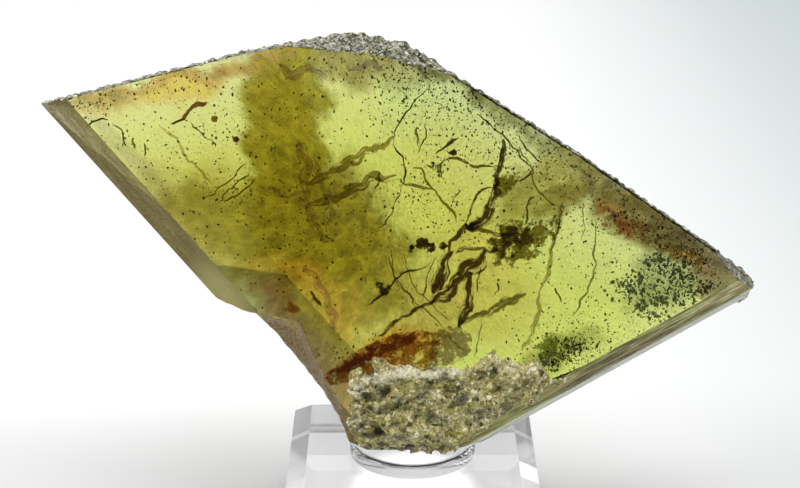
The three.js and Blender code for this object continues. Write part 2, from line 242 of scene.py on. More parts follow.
def titanite():
    """Natural titanite: clear yellow-green, grown flat and glassy, with zones of colour.

    The flat faces are as they grew, so they mirror sharply. The upper edges are etched to small points
    and the break is satin, so these scatter the light and look pale where the faces look deep. Each etched
    point is also painted one tone from dark to near-white, as painted glints and shade.
    """
    material, tree = new_material("titanite_natural_faces")
    place = specimen_coordinates(tree)
    parts = add(tree, "ShaderNodeSeparateXYZ", {0: place})
    depth = add(tree, "ShaderNodeMath", {0: parts.outputs[2], 1: DATUM_W}, operation="SUBTRACT").outputs[0]
    drop = add(tree, "ShaderNodeMath", {0: depth, 1: DEPTH_SLANT}, operation="MULTIPLY").outputs[0]
    level = add(tree, "ShaderNodeMath", {0: parts.outputs[1], 1: drop}, operation="SUBTRACT").outputs[0]
    flat = add(tree, "ShaderNodeCombineXYZ", {0: parts.outputs[0], 1: level}).outputs[0]
    wander = add(tree, "ShaderNodeTexNoise", {
        "Vector": flat, "Scale": CLOUD_SPOTS, "Detail": 8.0, "Roughness": 0.68,
    })
    shift = add(tree, "ShaderNodeVectorMath", {
        0: wander.outputs["Color"], 1: (0.5, 0.5, 0.5),
    }, operation="SUBTRACT").outputs[0]
    shift = add(tree, "ShaderNodeVectorMath", {0: shift, "Scale": CLOUD_REACH}, operation="SCALE").outputs[0]
    warped = add(tree, "ShaderNodeVectorMath", {0: flat, 1: shift}, operation="ADD").outputs[0]
    warped = add(tree, "ShaderNodeVectorMath", {0: warped, 1: (1, 1, 0)}, operation="MULTIPLY").outputs[0]
    colour = (1, 1, 1, 1)
    for centre, halves, turn, softness, shade, strength in ZONES:
        local = add(tree, "ShaderNodeMapping", {
            "Vector": flat if softness < STRAIGHT_EDGE else warped,
            "Location": (*centre, 0),
            "Rotation": (0, 0, math.radians(turn)),
            "Scale": (*halves, 1),
        }, vector_type="TEXTURE").outputs[0]
        far = add(tree, "ShaderNodeVectorMath", {0: local}, operation="LENGTH").outputs["Value"]
        share = add(tree, "ShaderNodeMapRange", {
            "Value": far, "From Min": 1 + softness, "From Max": 1 - softness,
            "To Min": 0.0, "To Max": strength,
        }, interpolation_type="SMOOTHSTEP").outputs[0]
        colour = add(tree, "ShaderNodeMix", {
            0: share, 6: colour, 7: (*over_clear(shade), 1),
        }, data_type="RGBA").outputs[2]

    # Clouded parts are mottled: the darker a part is, the more its colour varies.
    mottle = add(tree, "ShaderNodeTexNoise", {
        "Vector": flat, "Scale": MOTTLE_SPOTS, "Detail": 8.0, "Roughness": 0.72, "Distortion": 0.6,
    }).outputs[0]
    light = add(tree, "ShaderNodeMapRange", {
        "Value": mottle, "From Min": 0.36, "From Max": 0.64, "To Min": 0.62, "To Max": 1.45,
    }).outputs[0]
    cloud = add(tree, "ShaderNodeSeparateColor", {0: colour}).outputs[1]
    plain = add(tree, "ShaderNodeMapRange", {
        "Value": cloud, "From Min": 0.25, "From Max": 0.8, "To Min": 0.0, "To Max": 0.85,
    }).outputs[0]
    light = add(tree, "ShaderNodeMix", {0: plain, 2: light, 3: 1.0}, data_type="FLOAT").outputs[0]
    fine = add(tree, "ShaderNodeTexNoise", {
        "Vector": flat, "Scale": FINE_SPOTS, "Detail": 4.0, "Roughness": 0.65,
    }).outputs[0]
    fine = add(tree, "ShaderNodeMapRange", {
        "Value": fine, "From Min": 0.3, "From Max": 0.7, "To Min": 0.8, "To Max": 1.15,
    }).outputs[0]
    light = add(tree, "ShaderNodeMath", {0: light, 1: fine}, operation="MULTIPLY").outputs[0]
    colour = add(tree, "ShaderNodeVectorMath", {0: colour, "Scale": light}, operation="SCALE").outputs[0]
    colour = add(tree, "ShaderNodeVectorMath", {0: colour, 1: (1, 1, 1)}, operation="MINIMUM").outputs[0]

    druse = add(tree, "ShaderNodeAttribute", attribute_name="druse").outputs["Fac"]
    fracture = add(tree, "ShaderNodeAttribute", attribute_name="fracture").outputs["Fac"]
    # Painted glints and shade: each etched point gets one tone, from dark to near-white.
    point = add(tree, "ShaderNodeTexVoronoi", {"Vector": place, "Scale": 1 / DRUSE_POINT}).outputs["Color"]
    point = add(tree, "ShaderNodeSeparateColor", {0: point}).outputs[0]
    pale = stepped_tones(tree, point, DRUSE_GLINT_AND_SHADE_TONES)
    colour = add(tree, "ShaderNodeMix", {0: druse, 6: colour, 7: pale}, data_type="RGBA").outputs[2]
    clear = add(tree, "ShaderNodeMath", {
        0: druse, 1: -DRUSE_HAZE, 2: 1.0,
    }, operation="MULTIPLY_ADD").outputs[0]
    rough = add(tree, "ShaderNodeMath", {
        0: druse, 1: DRUSE_ROUGHNESS, 2: FACE_ROUGHNESS,
    }, operation="MULTIPLY_ADD").outputs[0]
    rough = add(tree, "ShaderNodeMath", {
        0: fracture, 1: BREAK_ROUGHNESS, 2: rough,
    }, operation="MULTIPLY_ADD").outputs[0]
    shader = add(tree, "ShaderNodeBsdfPrincipled", {
        "Base Color": colour,
        "Roughness": rough,
        "IOR": TITANITE_IOR,
        "Transmission Weight": clear,
    })
    absorption = add(tree, "ShaderNodeVolumeAbsorption", {
        "Color": (*ABSORPTION_COLOUR, 1), "Density": ABSORPTION_DENSITY,
    })
    add(tree, "ShaderNodeOutputMaterial", {"Surface": shader.outputs[0], "Volume": absorption.outputs[0]})
    return material


# The film's growth lines: their turn in degrees and how many lie in a millimetre, on the left and on
# the right side. The real ones are finer.
GROWTH_LINES = [(-49, 1.9), (30, 5.5)]
MIDDLE_U = -1.0  # between the left and the right side
# Tones of the film on the left side, on the right side and on the break.
LEFT_FILM = ["#5A4C1E", "#706028", "#807032", "#90823C", "#A0934A", "#B4A860"]
RIGHT_FILM = ["#46401E", "#5E562C", "#726A3A", "#868050", "#A09A6A", "#C4BE94"]
BREAK_FILM = ["#6E4E1C", "#86662A", "#98783A", "#AC8C4C", "#BC9E62", "#C8AE78"]
# The left side's film is pale round this place (u, v, w), at its lower end.
PALE_END = (-14.8, 12.6, 1.5)


def side_film_material():
    """The brown film on the crystal's grown lower sides and on its break.

    Fine growth lines run along the sides and hold most of it, so it looks streaked and speckled, and
    the crystal shows dimly through it; on the break it is thin and tan.
    """
    material, tree = new_material("brown_film_on_growth_lines")
    place = specimen_coordinates(tree)
    across, _, depth = add(tree, "ShaderNodeSeparateXYZ", {0: place}).outputs
    lines = []
    for turn, fineness in GROWTH_LINES:
        along = add(tree, "ShaderNodeMapping", {
            "Vector": place, "Rotation": (0, 0, math.radians(-turn)),
        }).outputs[0]
        drawn = add(tree, "ShaderNodeVectorMath", {
            0: along, 1: (0.45, fineness, 1.6),
        }, operation="MULTIPLY").outputs[0]
        lines.append(add(tree, "ShaderNodeTexNoise", {
            "Vector": drawn, "Scale": 1.0, "Detail": 3.0, "Roughness": 0.6,
        }).outputs[0])
    on_right = add(tree, "ShaderNodeMath", {0: across, 1: MIDDLE_U}, operation="GREATER_THAN").outputs[0]
    line = add(tree, "ShaderNodeMix", {0: on_right, 2: lines[0], 3: lines[1]}, data_type="FLOAT").outputs[0]
    grit = add(tree, "ShaderNodeTexNoise", {
        "Vector": place, "Scale": 5.0, "Detail": 4.0, "Roughness": 0.8,
    }).outputs[0]
    share = add(tree, "ShaderNodeMix", {0: on_right, 2: 0.35, 3: 0.9}, data_type="FLOAT").outputs[0]
    blend = add(tree, "ShaderNodeMix", {0: share, 2: grit, 3: line}, data_type="FLOAT").outputs[0]
    level = add(tree, "ShaderNodeMapRange", {"Value": blend, "From Min": 0.36, "From Max": 0.64}).outputs[0]
    left = stepped_tones(tree, level, LEFT_FILM)
    right = stepped_tones(tree, level, RIGHT_FILM)
    thinner = add(tree, "ShaderNodeMapRange", {
        "Value": across, "From Min": 8.0, "From Max": 24.0, "To Min": 1.0, "To Max": 1.8,
    }).outputs[0]
    right = add(tree, "ShaderNodeVectorMath", {0: right, "Scale": thinner}, operation="SCALE").outputs[0]
    colour = add(tree, "ShaderNodeMix", {0: on_right, 6: left, 7: right}, data_type="RGBA").outputs[2]
    glint = add(tree, "ShaderNodeMapRange", {
        "Value": grit, "From Min": 0.64, "From Max": 0.7, "To Min": 0.0, "To Max": 1.0,
    }).outputs[0]
    colour = add(tree, "ShaderNodeMix", {
        0: glint, 6: colour, 7: (*linear("#E8E2D0"), 1),
    }, data_type="RGBA").outputs[2]
    fracture = add(tree, "ShaderNodeAttribute", attribute_name="fracture").outputs["Fac"]
    even = add(tree, "ShaderNodeMapRange", {"Value": grit, "From Min": 0.38, "From Max": 0.62}).outputs[0]
    tan = stepped_tones(tree, even, BREAK_FILM)
    colour = add(tree, "ShaderNodeMix", {0: fracture, 6: colour, 7: tan}, data_type="RGBA").outputs[2]

    # The crystal shows between the film's lines. The film is pale at the left side's lower end, and on the
    # right side's sharp rim it is painted near-white, as a painted highlight of the bright clear rim.
    cover = add(tree, "ShaderNodeMapRange", {
        "Value": blend, "From Min": 0.4, "From Max": 0.62, "To Min": 0.95, "To Max": 0.6,
    }).outputs[0]
    pale = add(tree, "ShaderNodeVectorMath", {
        0: place, 1: PALE_END,
    }, operation="DISTANCE").outputs["Value"]
    pale = add(tree, "ShaderNodeMapRange", {
        "Value": pale, "From Min": 0.8, "From Max": 4.6, "To Min": 0.75, "To Max": 0.0,
    }, interpolation_type="SMOOTHSTEP").outputs[0]
    colour = add(tree, "ShaderNodeMix", {
        0: pale, 6: colour, 7: (*linear("#C6C074"), 1),
    }, data_type="RGBA").outputs[2]
    # Painted highlight: the film turns near-white along the right side's sharp rim.
    rim = add(tree, "ShaderNodeMath", {0: grit, 1: -0.5, 2: depth}, operation="MULTIPLY_ADD").outputs[0]
    rim = add(tree, "ShaderNodeMapRange", {
        "Value": rim, "From Min": 0.85, "From Max": 0.65, "To Min": 0.0, "To Max": 0.95,
    }).outputs[0]
    rim = add(tree, "ShaderNodeMath", {0: rim, 1: on_right}, operation="MULTIPLY").outputs[0]
    colour = add(tree, "ShaderNodeMix", {
        0: rim, 6: colour, 7: (*linear("#FAFAF0"), 1),
    }, data_type="RGBA").outputs[2]
    cover = add(tree, "ShaderNodeMix", {0: fracture, 2: cover, 3: 0.55}, data_type="FLOAT").outputs[0]
    shader = add(tree, "ShaderNodeBsdfPrincipled", {
        "Base Color": colour, "Roughness": 0.6, "Specular IOR Level": 0.25, "Alpha": cover,
    })
    add(tree, "ShaderNodeOutputMaterial", {"Surface": shader.outputs[0]})
    return material


# The crystal's sides, anticlockwise from the left tip: where each starts (u, v), how far its front and
# its back edge lie inside the sharp rim, and what it is like.
SIDES = [
    ((-29.0, 27.1), 2.4, 5.4, "grown"),
    ((-1.6, -4.5), 2.5, 2.2, "grown"),
    ((26.3, 11.5), 1.3, 9, "tip"),
    ((27.2, 12.7), 0.9, 9, "tip"),
    ((26.3, 13.8), -0.2, 9, "edge"),
    ((12.4, 23.5), -0.2, 9, "edge"),
    ((2.0, 30.05), -0.2, 9, "edge"),
    ((-0.6, 31.7), 1.1, 9, "apex"),
    ((-3.3, 32.4), 1.2, 9, "apex"),
    ((-5.4, 32.6), -0.05, 9, "edge"),
    ((-13.7, 31.0), -0.05, 9, "edge"),
]
# The narrow facet on the lower right rim: which way it faces, from its depth and how far it reaches in.
SLIVER_DEPTH = 1.1
SLIVER_INSET = 0.4
LOWER_RIGHT = (Vector(SIDES[2][0]) - Vector(SIDES[1][0])).normalized()
RIM_SLIVER = Vector((LOWER_RIGHT.y * SLIVER_DEPTH, -LOWER_RIGHT.x * SLIVER_DEPTH, SLIVER_INSET)).normalized()
# Above the line from tip to tip the sides are etched. Below it, they are broken within these bounds of
# u and v, and grown elsewhere.
LEFT_TIP = Vector((-29.0, 27.0))
RIGHT_TIP = Vector((26.3, 11.3))
BREAK_RIGHT = -3.5
BREAK_TOP = 13.5
# What a face of the crystal is, and how near to a side's plane it has to lie to belong to it.
FLAT, ETCHED, BROKEN, GROWN = range(4)
SAME_TURN = 0.012
SAME_PLANE = 0.2

# The solid's own points are trimmed off this far inside a side, and finer ones take their place; a
# grown face is only cleaned.
DRUSE_TRIM = 0.03
CLEAN_TRIM = 0.004
# The longest edge of a face on the etched sides and on the break.
DRUSE_EDGE = 0.2
BREAK_EDGE = 0.4
# The etched points: how wide and how high the large and the small ones are, and where they top out.
DRUSE_CELLS = [(0.55, 0.12), (0.26, 0.06)]
DRUSE_STEEPNESS = 1.6
DRUSE_LIFT = 0.2
# The ripples of the break run round this place.
BREAK_START = Vector((-12.5, 12.0, 3.0))
RIPPLE_SPACING = 1.15
RIPPLE_HEIGHT = 0.035
FILM_LIFT = 0.012  # the brown film lies this far over the crystal


def side_planes():
    """A point and the outward normals, front and back, of every side."""
    for i, (start, front, back, kind) in enumerate(SIDES):
        start, end = Vector((*start, 0)), Vector((*SIDES[(i + 1) % len(SIDES)][0], 0))
        along = (end - start).normalized()
        out = Vector((along.y, -along.x, 0))
        forward = (out * FRONT_W + Vector((0, 0, front))).normalized()
        backward = (out * -BACK_W - Vector((0, 0, back))).normalized()
        yield start, forward, backward, kind


def zone_of(face):
    """Whether a face is flat, etched, broken or one of the grown lower sides."""
    if abs(face.normal.z) > math.cos(SAME_TURN):
        return FLAT
    centre = face.calc_center_median()
    for place, forward, backward, kind in side_planes():
        near = abs((centre - place).dot(backward)) < SAME_PLANE
        if face.normal.angle(backward) < SAME_TURN and near:
            return FLAT
        if kind == "grown" and face.normal.angle(forward) < SAME_TURN:
            return GROWN
    if face.normal.angle(RIM_SLIVER) < SAME_TURN:
        return GROWN
    if (RIGHT_TIP - LEFT_TIP).cross(centre.xy - LEFT_TIP) > 0:
        return ETCHED
    return BROKEN if centre.x < BREAK_RIGHT and centre.y < BREAK_TOP else GROWN


def refine(shape, zone, layer, longest):
    """Halves the edges of a zone, the longest first, until none is longer than this."""
    while True:
        long = [
            edge for edge in shape.edges
            if edge.calc_length() > longest and any(face[layer] == zone for face in edge.link_faces)
        ]
        if not long:
            return
        for edge in sorted(long, key=lambda e: -e.calc_length()):
            sides = [(face, next(v for v in face.verts if v not in edge.verts)) for face in edge.link_faces]
            middle = bmesh.utils.edge_split(edge, edge.verts[0], 0.5)[1]
            for face, opposite in sides:
                bmesh.utils.face_split(face, middle, opposite)


def druse_height(place):
    """Small pyramids side by side: high in the middle of each cell and low at its edges."""
    height = DRUSE_LIFT
    for size, reach in DRUSE_CELLS:
        near = noise.voronoi(place / size)[0]
        height -= reach * (1 - min(1.0, (near[1] - near[0]) * DRUSE_STEEPNESS))
    return height


def fracture_height(place):
    """Shell-like ripples round the place where the break started."""
    ring = (place - BREAK_START).length + 0.6 * noise.noise(place * 0.5)
    ripple = RIPPLE_HEIGHT * math.sin(ring * math.tau / RIPPLE_SPACING)
    return ripple + 0.05 * noise.noise(place * 0.9) + 0.012 * noise.noise(place * 5)


def trim(shape, place, outward, depth):
    """Cuts off what stands out of a side, from this depth inside its plane."""
    cut = bmesh.ops.bisect_plane(
        shape, geom=[*shape.verts, *shape.edges, *shape.faces], dist=1e-5,
        plane_co=place - outward * depth, plane_no=outward, clear_outer=True,
    )["geom_cut"]
    bmesh.ops.holes_fill(shape, edges=[e for e in cut if isinstance(e, bmesh.types.BMEdge)], sides=0)


def coarse_crystal():
    """The crystal's solid as one closed shape with clean sides, from which the fine one is made."""
    shape = bmesh.new()
    shape.from_mesh(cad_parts["titanite_crystal"].data)
    shape.transform(TO_SPECIMEN)
    bmesh.ops.remove_doubles(shape, verts=shape.verts, dist=0.0005)
    trim(shape, Vector((0, 0, FRONT_W)), Vector((0, 0, 1)), CLEAN_TRIM)
    for place, forward, backward, kind in side_planes():
        trim(shape, place, backward, CLEAN_TRIM if kind == "grown" else DRUSE_TRIM)
        if kind == "grown":
            trim(shape, place, forward, CLEAN_TRIM)
    bmesh.ops.dissolve_limit(shape, angle_limit=math.radians(0.2), verts=shape.verts, edges=shape.edges)
    bmesh.ops.triangulate(shape, faces=shape.faces)
    bmesh.ops.dissolve_degenerate(shape, dist=0.002, edges=shape.edges)
    bmesh.ops.triangulate(shape, faces=[f for f in shape.faces if len(f.verts) > 3])
    return shape


def finished(shape, name):
    """The shape as a mesh in the scene's metres, within the part's measured size."""
    layer = shape.faces.layers.int["zone"]
    druse = shape.faces.layers.float.new("druse")
    fracture = shape.faces.layers.float.new("fracture")
    for face in shape.faces:
        face.smooth = face[layer] == BROKEN
        face[druse] = float(face[layer] == ETCHED)
        face[fracture] = float(face[layer] == BROKEN)
    shape.transform(TO_WORLD)
    for vertex in shape.verts:
        for axis in range(3):
            vertex.co[axis] = min(max(vertex.co[axis], cad_low[axis]), cad_high[axis])
    mesh = bpy.data.meshes.new(name)
    shape.to_mesh(mesh)
    return mesh


def film_on(shape):
    """A film just over the grown lower sides and the break."""
    film = shape.copy()
    layer = film.faces.layers.int["zone"]
    bmesh.ops.delete(film, geom=[f for f in film.faces if f[layer] not in (BROKEN, GROWN)], context="FACES")
    film.normal_update()
    for vertex in film.verts:
        vertex.co += vertex.normal * FILM_LIFT
    return finished(film, "brown_film")


def crystal_and_film(shape):
    """The crystal with its fine etched points and its rippled break, and the film on it."""
    layer = shape.faces.layers.int.new("zone")
    for face in shape.faces:
        face[layer] = zone_of(face)
    refine(shape, ETCHED, layer, DRUSE_EDGE)
    refine(shape, BROKEN, layer, BREAK_EDGE)
    shape.normal_update()
    moves = {}
    for vertex in shape.verts:
        rough = [f for f in vertex.link_faces if f[layer] in (ETCHED, BROKEN)]
        if not rough:
            continue
        normal = sum((f.normal * f.calc_area() for f in rough), Vector()).normalized()
        etched = any(f[layer] == ETCHED for f in rough)
        move = normal * (druse_height(vertex.co) if etched else fracture_height(vertex.co))
        # Next to a flat face a point only slides along it.
        smooth = [f for f in vertex.link_faces if f[layer] in (FLAT, GROWN)]
        for flat in {tuple(round(c, 4) for c in f.normal) for f in smooth}:
            move -= Vector(flat) * move.dot(Vector(flat))
        moves[vertex] = move
    for vertex, move in moves.items():
        vertex.co += move
    film = film_on(shape)
    return finished(shape, "crystal"), film


# ---------------------------------------------------------------- what lies inside the crystal

SKIN = 0.22  # nothing inside comes nearer to the surface than this
FAR = 20
# The sheets on which grains are scattered: their lower left corner, their size, and how crowded a place
# has to be to bear any.
SHEET_CORNER = (-29.5, -3)
SHEET_SIZE = (57, 37)
LEAST_CROWD = 0.02


def room_at(u, v):
    """The highest and lowest w free inside the crystal at this place of its face, or None."""
    top = inside_of_crystal.ray_cast(Vector((u, v, FAR)), Vector((0, 0, -1)))[0]
    bottom = inside_of_crystal.ray_cast(Vector((u, v, -FAR)), Vector((0, 0, 1)))[0]
    if top is None or bottom is None or top.z - bottom.z < 3 * SKIN:
        return None
    return top.z - SKIN, bottom.z + SKIN


def seen_at(u, v, w):
    """A point that looks to be at (u, v) from the front, at depth w, kept inside the crystal."""
    place = Vector((u, v + DEPTH_SLANT * (w - DATUM_W), w))
    room = room_at(place.x, place.y)
    if room:
        place.z = min(max(w, room[1]), room[0])
    return place


def crowd(u, v, spots):
    """How crowded this place is: the sum of soft spots (centre, reach along u and v, share)."""
    total = 0
    for (cu, cv), (ru, rv), share in spots:
        total += share * math.exp(-((u - cu) / ru) ** 2 - ((v - cv) / rv) ** 2)
    return total


def inner_sheet(name, spots, step, depths):
    """A sheet inside the crystal, with how crowded each place is and how much room is below it.

    The two depths are where the grains start and end, as shares of the crystal's thickness.
    """
    shape = bmesh.new()
    crowding = shape.verts.layers.float.new("crowding")
    room = shape.verts.layers.float.new("room")
    grid = {}
    for i in range(int(SHEET_SIZE[0] / step) + 1):
        for j in range(int(SHEET_SIZE[1] / step) + 1):
            u, v = SHEET_CORNER[0] + i * step, SHEET_CORNER[1] + j * step
            free = room_at(u, v)
            share = crowd(u, v, spots)
            if free and share > LEAST_CROWD:
                high = free[0] + (free[1] - free[0]) * depths[0]
                low = free[0] + (free[1] - free[0]) * depths[1]
                vertex = shape.verts.new((u, v + DEPTH_SLANT * (high - DATUM_W), high))
                vertex[crowding] = share
                vertex[room] = (high - low) * MM
                grid[i, j] = vertex
    for i, j in list(grid):
        corners = [grid.get(k) for k in ((i, j), (i + 1, j), (i + 1, j + 1), (i, j + 1))]
        if all(corners):
            shape.faces.new(corners)
    shape.transform(TO_WORLD)
    mesh = bpy.data.meshes.new(name)
    shape.to_mesh(mesh)
    return mesh


def scatter_tree():
    """Geometry nodes: small irregular grains on or below a surface, more where it says crowding."""
    tree = bpy.data.node_groups.new("scattered_grains", "GeometryNodeTree")
    sockets = tree.interface
    sockets.new_socket("Geometry", in_out="INPUT", socket_type="NodeSocketGeometry")
    for name, kind, value in [
        ("Density", "NodeSocketFloat", 1e6), ("Seed", "NodeSocketInt", 1),
        ("Smallest", "NodeSocketFloat", 0.0001), ("Largest", "NodeSocketFloat", 0.0003),
        ("Flatness", "NodeSocketFloat", 0.5), ("Into", "NodeSocketVector", (0, 0, 0)),
        ("Material", "NodeSocketMaterial", None),
    ]:
        made = sockets.new_socket(name, in_out="INPUT", socket_type=kind)
        if value is not None:
            made.default_value = value
    sockets.new_socket("Geometry", in_out="OUTPUT", socket_type="NodeSocketGeometry")
    given = add(tree, "NodeGroupInput").outputs
    crowding, room = [
        add(tree, "GeometryNodeInputNamedAttribute", {"Name": name}, data_type="FLOAT").outputs[0]
        for name in ("crowding", "room")
    ]
    density = add(tree, "ShaderNodeMath", {
        0: crowding, 1: given["Density"],
    }, operation="MULTIPLY").outputs[0]
    points = add(tree, "GeometryNodeDistributePointsOnFaces", {
        "Mesh": given["Geometry"], "Density": density, "Seed": given["Seed"],
    })
    share = add(tree, "FunctionNodeRandomValue", {"Seed": 3}, data_type="FLOAT").outputs[1]
    depth = add(tree, "ShaderNodeMath", {0: share, 1: room}, operation="MULTIPLY").outputs[0]
    offset = add(tree, "ShaderNodeVectorMath", {
        0: given["Into"], "Scale": depth,
    }, operation="SCALE").outputs[0]
    placed = add(tree, "GeometryNodeSetPosition", {
        "Geometry": points.outputs[0], "Offset": offset,
    }).outputs[0]
    lump = add(tree, "GeometryNodeMeshIcoSphere", {"Radius": 1.0, "Subdivisions": 1}).outputs[0]
    turn = add(tree, "FunctionNodeRandomValue", {
        0: (0, 0, 0), 1: (math.tau, math.tau, math.tau), "Seed": 5,
    }, data_type="FLOAT_VECTOR").outputs[0]
    chance = add(tree, "FunctionNodeRandomValue", {"Seed": 7}, data_type="FLOAT").outputs[1]
    chance = add(tree, "ShaderNodeMath", {0: chance, 1: 2.0}, operation="POWER").outputs[0]
    size = add(tree, "ShaderNodeMix", {
        0: chance, 2: given["Smallest"], 3: given["Largest"],
    }, data_type="FLOAT").outputs[0]
    thin = add(tree, "ShaderNodeCombineXYZ", {0: 1.0, 1: 0.75, 2: given["Flatness"]}).outputs[0]
    wide = add(tree, "FunctionNodeRandomValue", {
        0: (0.7, 0.7, 0.8), 1: (1.35, 1.2, 1.2), "Seed": 11,
    }, data_type="FLOAT_VECTOR").outputs[0]
    scale = add(tree, "ShaderNodeVectorMath", {0: wide, 1: thin}, operation="MULTIPLY").outputs[0]
    scale = add(tree, "ShaderNodeVectorMath", {0: scale, "Scale": size}, operation="SCALE").outputs[0]
    grains = add(tree, "GeometryNodeInstanceOnPoints", {
        "Points": placed, "Instance": lump, "Rotation": turn, "Scale": scale,
    }).outputs[0]
    tone = add(tree, "FunctionNodeRandomValue", {"Seed": 13}, data_type="FLOAT").outputs[1]
    grains = add(tree, "GeometryNodeStoreNamedAttribute", {
        "Geometry": grains, "Name": "tone", "Value": tone,
    }, data_type="FLOAT", domain="INSTANCE").outputs[0]
    solid = add(tree, "GeometryNodeRealizeInstances", {0: grains}).outputs[0]
    painted = add(tree, "GeometryNodeSetMaterial", {
        "Geometry": solid, "Material": given["Material"],
    }).outputs[0]
    add(tree, "NodeGroupOutput", {0: painted})
    return tree


def grain_material(name, tones, roughness, ior):
    """Opaque mineral grains, each with its own tone from a short range of colours."""
    material, tree = new_material(name)
    tone = add(tree, "ShaderNodeAttribute", attribute_name="tone").outputs["Fac"]
    shade = stepped_tones(tree, tone, tones)
    place = specimen_coordinates(tree)
    grain = add(tree, "ShaderNodeTexNoise", {"Vector": place, "Scale": 6.0, "Detail": 3.0}).outputs[0]
    light = add(tree, "ShaderNodeMapRange", {
        "Value": grain, "From Min": 0.3, "From Max": 0.7, "To Min": 0.75, "To Max": 1.2,
    }).outputs[0]
    colour = add(tree, "ShaderNodeVectorMath", {0: shade, "Scale": light}, operation="SCALE").outputs[0]
    shader = add(tree, "ShaderNodeBsdfPrincipled", {
        "Base Color": colour, "Roughness": roughness, "IOR": ior,
    })
    add(tree, "ShaderNodeOutputMaterial", {"Surface": shader.outputs[0]})
    return material


def spline(points, step):
    """Evenly close points of a smooth curve through the given ones."""
    points = [Vector(p) for p in points]
    padded = [2 * points[0] - points[1]] + points + [2 * points[-1] - points[-2]]
    made = []
    for a, b, c, d in zip(padded, padded[1:], padded[2:], padded[3:]):
        count = max(1, round((c - b).length / step))
        for i in range(count):
            t = i / count
            made.append(0.5 * (2 * b + (c - a) * t + (2 * a - 5 * b + 4 * c - d) * t ** 2
                               + (3 * b - a - 3 * c + d) * t ** 3))
    return made + [points[-1]]


def wobble(place, fineness, reach):
    """A small shift across the face that wanders smoothly with the place."""
    return Vector([noise.noise(Vector((*place * fineness, level))) for level in (2, 6)]) * reach


class Films:
    """Thin coloured films inside the crystal, gathered into one mesh.

    Each has a colour, how firm its outline is (1) or how ragged (0), and how much of it is solid matter
    rather than a see-through stain.
    """

    STEP = 0.15  # how far apart the points of a ribbon are along its route
    FLAKE_STEP = 0.18  # and those of a flake's outline

    def __init__(self):
        self.shape = bmesh.new()
        layers = self.shape.verts.layers
        self.rim = layers.float.new("rim")
        self.firm = layers.float.new("firm")
        self.body = layers.float.new("body")
        self.run = layers.float_vector.new("run")
        self.shade = layers.float_color.new("shade")
        self.look = (1, 0.1, (1, 1, 1))

    def point(self, place, rim, run=None):
        vertex = self.shape.verts.new(place)
        vertex[self.run] = run or place * 1.6
        vertex[self.rim] = rim
        vertex[self.firm], vertex[self.body] = self.look[:2]
        vertex[self.shade] = (*self.look[2], 1)
        return vertex

    def ribbon(self, route, width, depth, tilt, colour, firm=1.0, body=0.2):
        """A curved strip along a route, tapered at its ends, from depth[0] to depth[1], tilted across."""
        self.look = (firm, body, linear(colour))
        middle = [
            place + wobble(place, 1.1, 0.3) + wobble(place, 3, 0.1) for place in spline(route, self.STEP)
        ]
        rows = []
        for i, place in enumerate(middle):
            s = i / (len(middle) - 1)
            before, after = middle[max(i - 1, 0)], middle[min(i + 1, len(middle) - 1)]
            along = (after - before).normalized()
            across = Vector((-along.y, along.x))
            taper = min(1.0, 0.25 + min(s, 1 - s) * 5)
            level = depth[0] + (depth[1] - depth[0]) * s
            row = []
            for k in range(7):
                t = k / 3 - 1
                side = Vector((place.x * 1.3, place.y * 1.3, 3 if t < 0 else 8))
                rag = 1 + 0.8 * noise.noise(side * 0.6) + 0.15 * noise.noise(side * 2.3)
                spot = place + across * (width / 2 * taper * t * rag)
                run = Vector((0.12 * i, t * width * 2.4, route[0][0] * 3.7))
                row.append(self.point(seen_at(spot.x, spot.y, level + tilt * t), abs(t), run))
            rows.append(row)
        for low, high in zip(rows, rows[1:]):
            for k in range(6):
                self.shape.faces.new((low[k], low[k + 1], high[k + 1], high[k]))

    def flake(self, outline, depth, colour, firm=0.6, body=0.2):
        """A small film with a ragged outline."""
        self.look = (firm, body, linear(colour))
        edge = spline([*outline, outline[0]], self.FLAKE_STEP)[:-1]
        middle = sum(edge, Vector((0, 0))) / len(edge)
        rings = []
        for share in (0.25, 0.5, 0.75, 1.0):
            ring = []
            for place in edge:
                jag = 1 + 0.16 * noise.noise(Vector((place.x * 3, place.y * 3, 1)))
                spot = middle + (place - middle) * share * jag
                dip = depth + 0.25 * noise.noise(Vector((spot.x, spot.y, 5)))
                ring.append(self.point(seen_at(spot.x, spot.y, dip), share))
            rings.append(ring)
        centre = self.point(seen_at(middle.x, middle.y, depth), 0)
        count = len(edge)
        for i in range(count):
            j = (i + 1) % count
            self.shape.faces.new((centre, rings[0][i], rings[0][j]))
            for inner, outer in zip(rings, rings[1:]):
                self.shape.faces.new((inner[i], outer[i], outer[j], inner[j]))

    def bleb(self, centre, radius, depth, colour):
        """A rounded knobbly bleb that looks darker at its rim."""
        self.look = (0.9, 0.3, linear(colour))
        rows, count = 8, 16
        grid = []
        for i in range(rows + 1):
            lean = math.pi * i / rows
            ring = []
            for k in range(count):
                turn = math.tau * k / count
                flat = math.sin(lean)
                way = Vector((flat * math.cos(turn), flat * math.sin(turn), math.cos(lean)))
                size = radius * (1 + 0.45 * noise.noise(way * 1.9 + Vector((*centre, 0))))
                spot = Vector((*centre, 0)) + way * size
                place = seen_at(spot.x, spot.y, depth + way.z * size * 0.6)
                ring.append(self.point(place, 0.5 + 0.5 * flat ** 3))
            grid.append(ring)
        for low, high in zip(grid, grid[1:]):
            for k in range(count):
                j = (k + 1) % count
                self.shape.faces.new((low[k], high[k], high[j], low[j]))

    def mesh(self, name):
        outside = [v for v in self.shape.verts if room_at(v.co.x, v.co.y) is None]
        bmesh.ops.delete(self.shape, geom=outside, context="VERTS")
        bmesh.ops.remove_doubles(self.shape, verts=self.shape.verts, dist=0.001)
        self.shape.transform(TO_WORLD)
        for face in self.shape.faces:
            face.smooth = True
        mesh = bpy.data.meshes.new(name)
        self.shape.to_mesh(mesh)
        return mesh


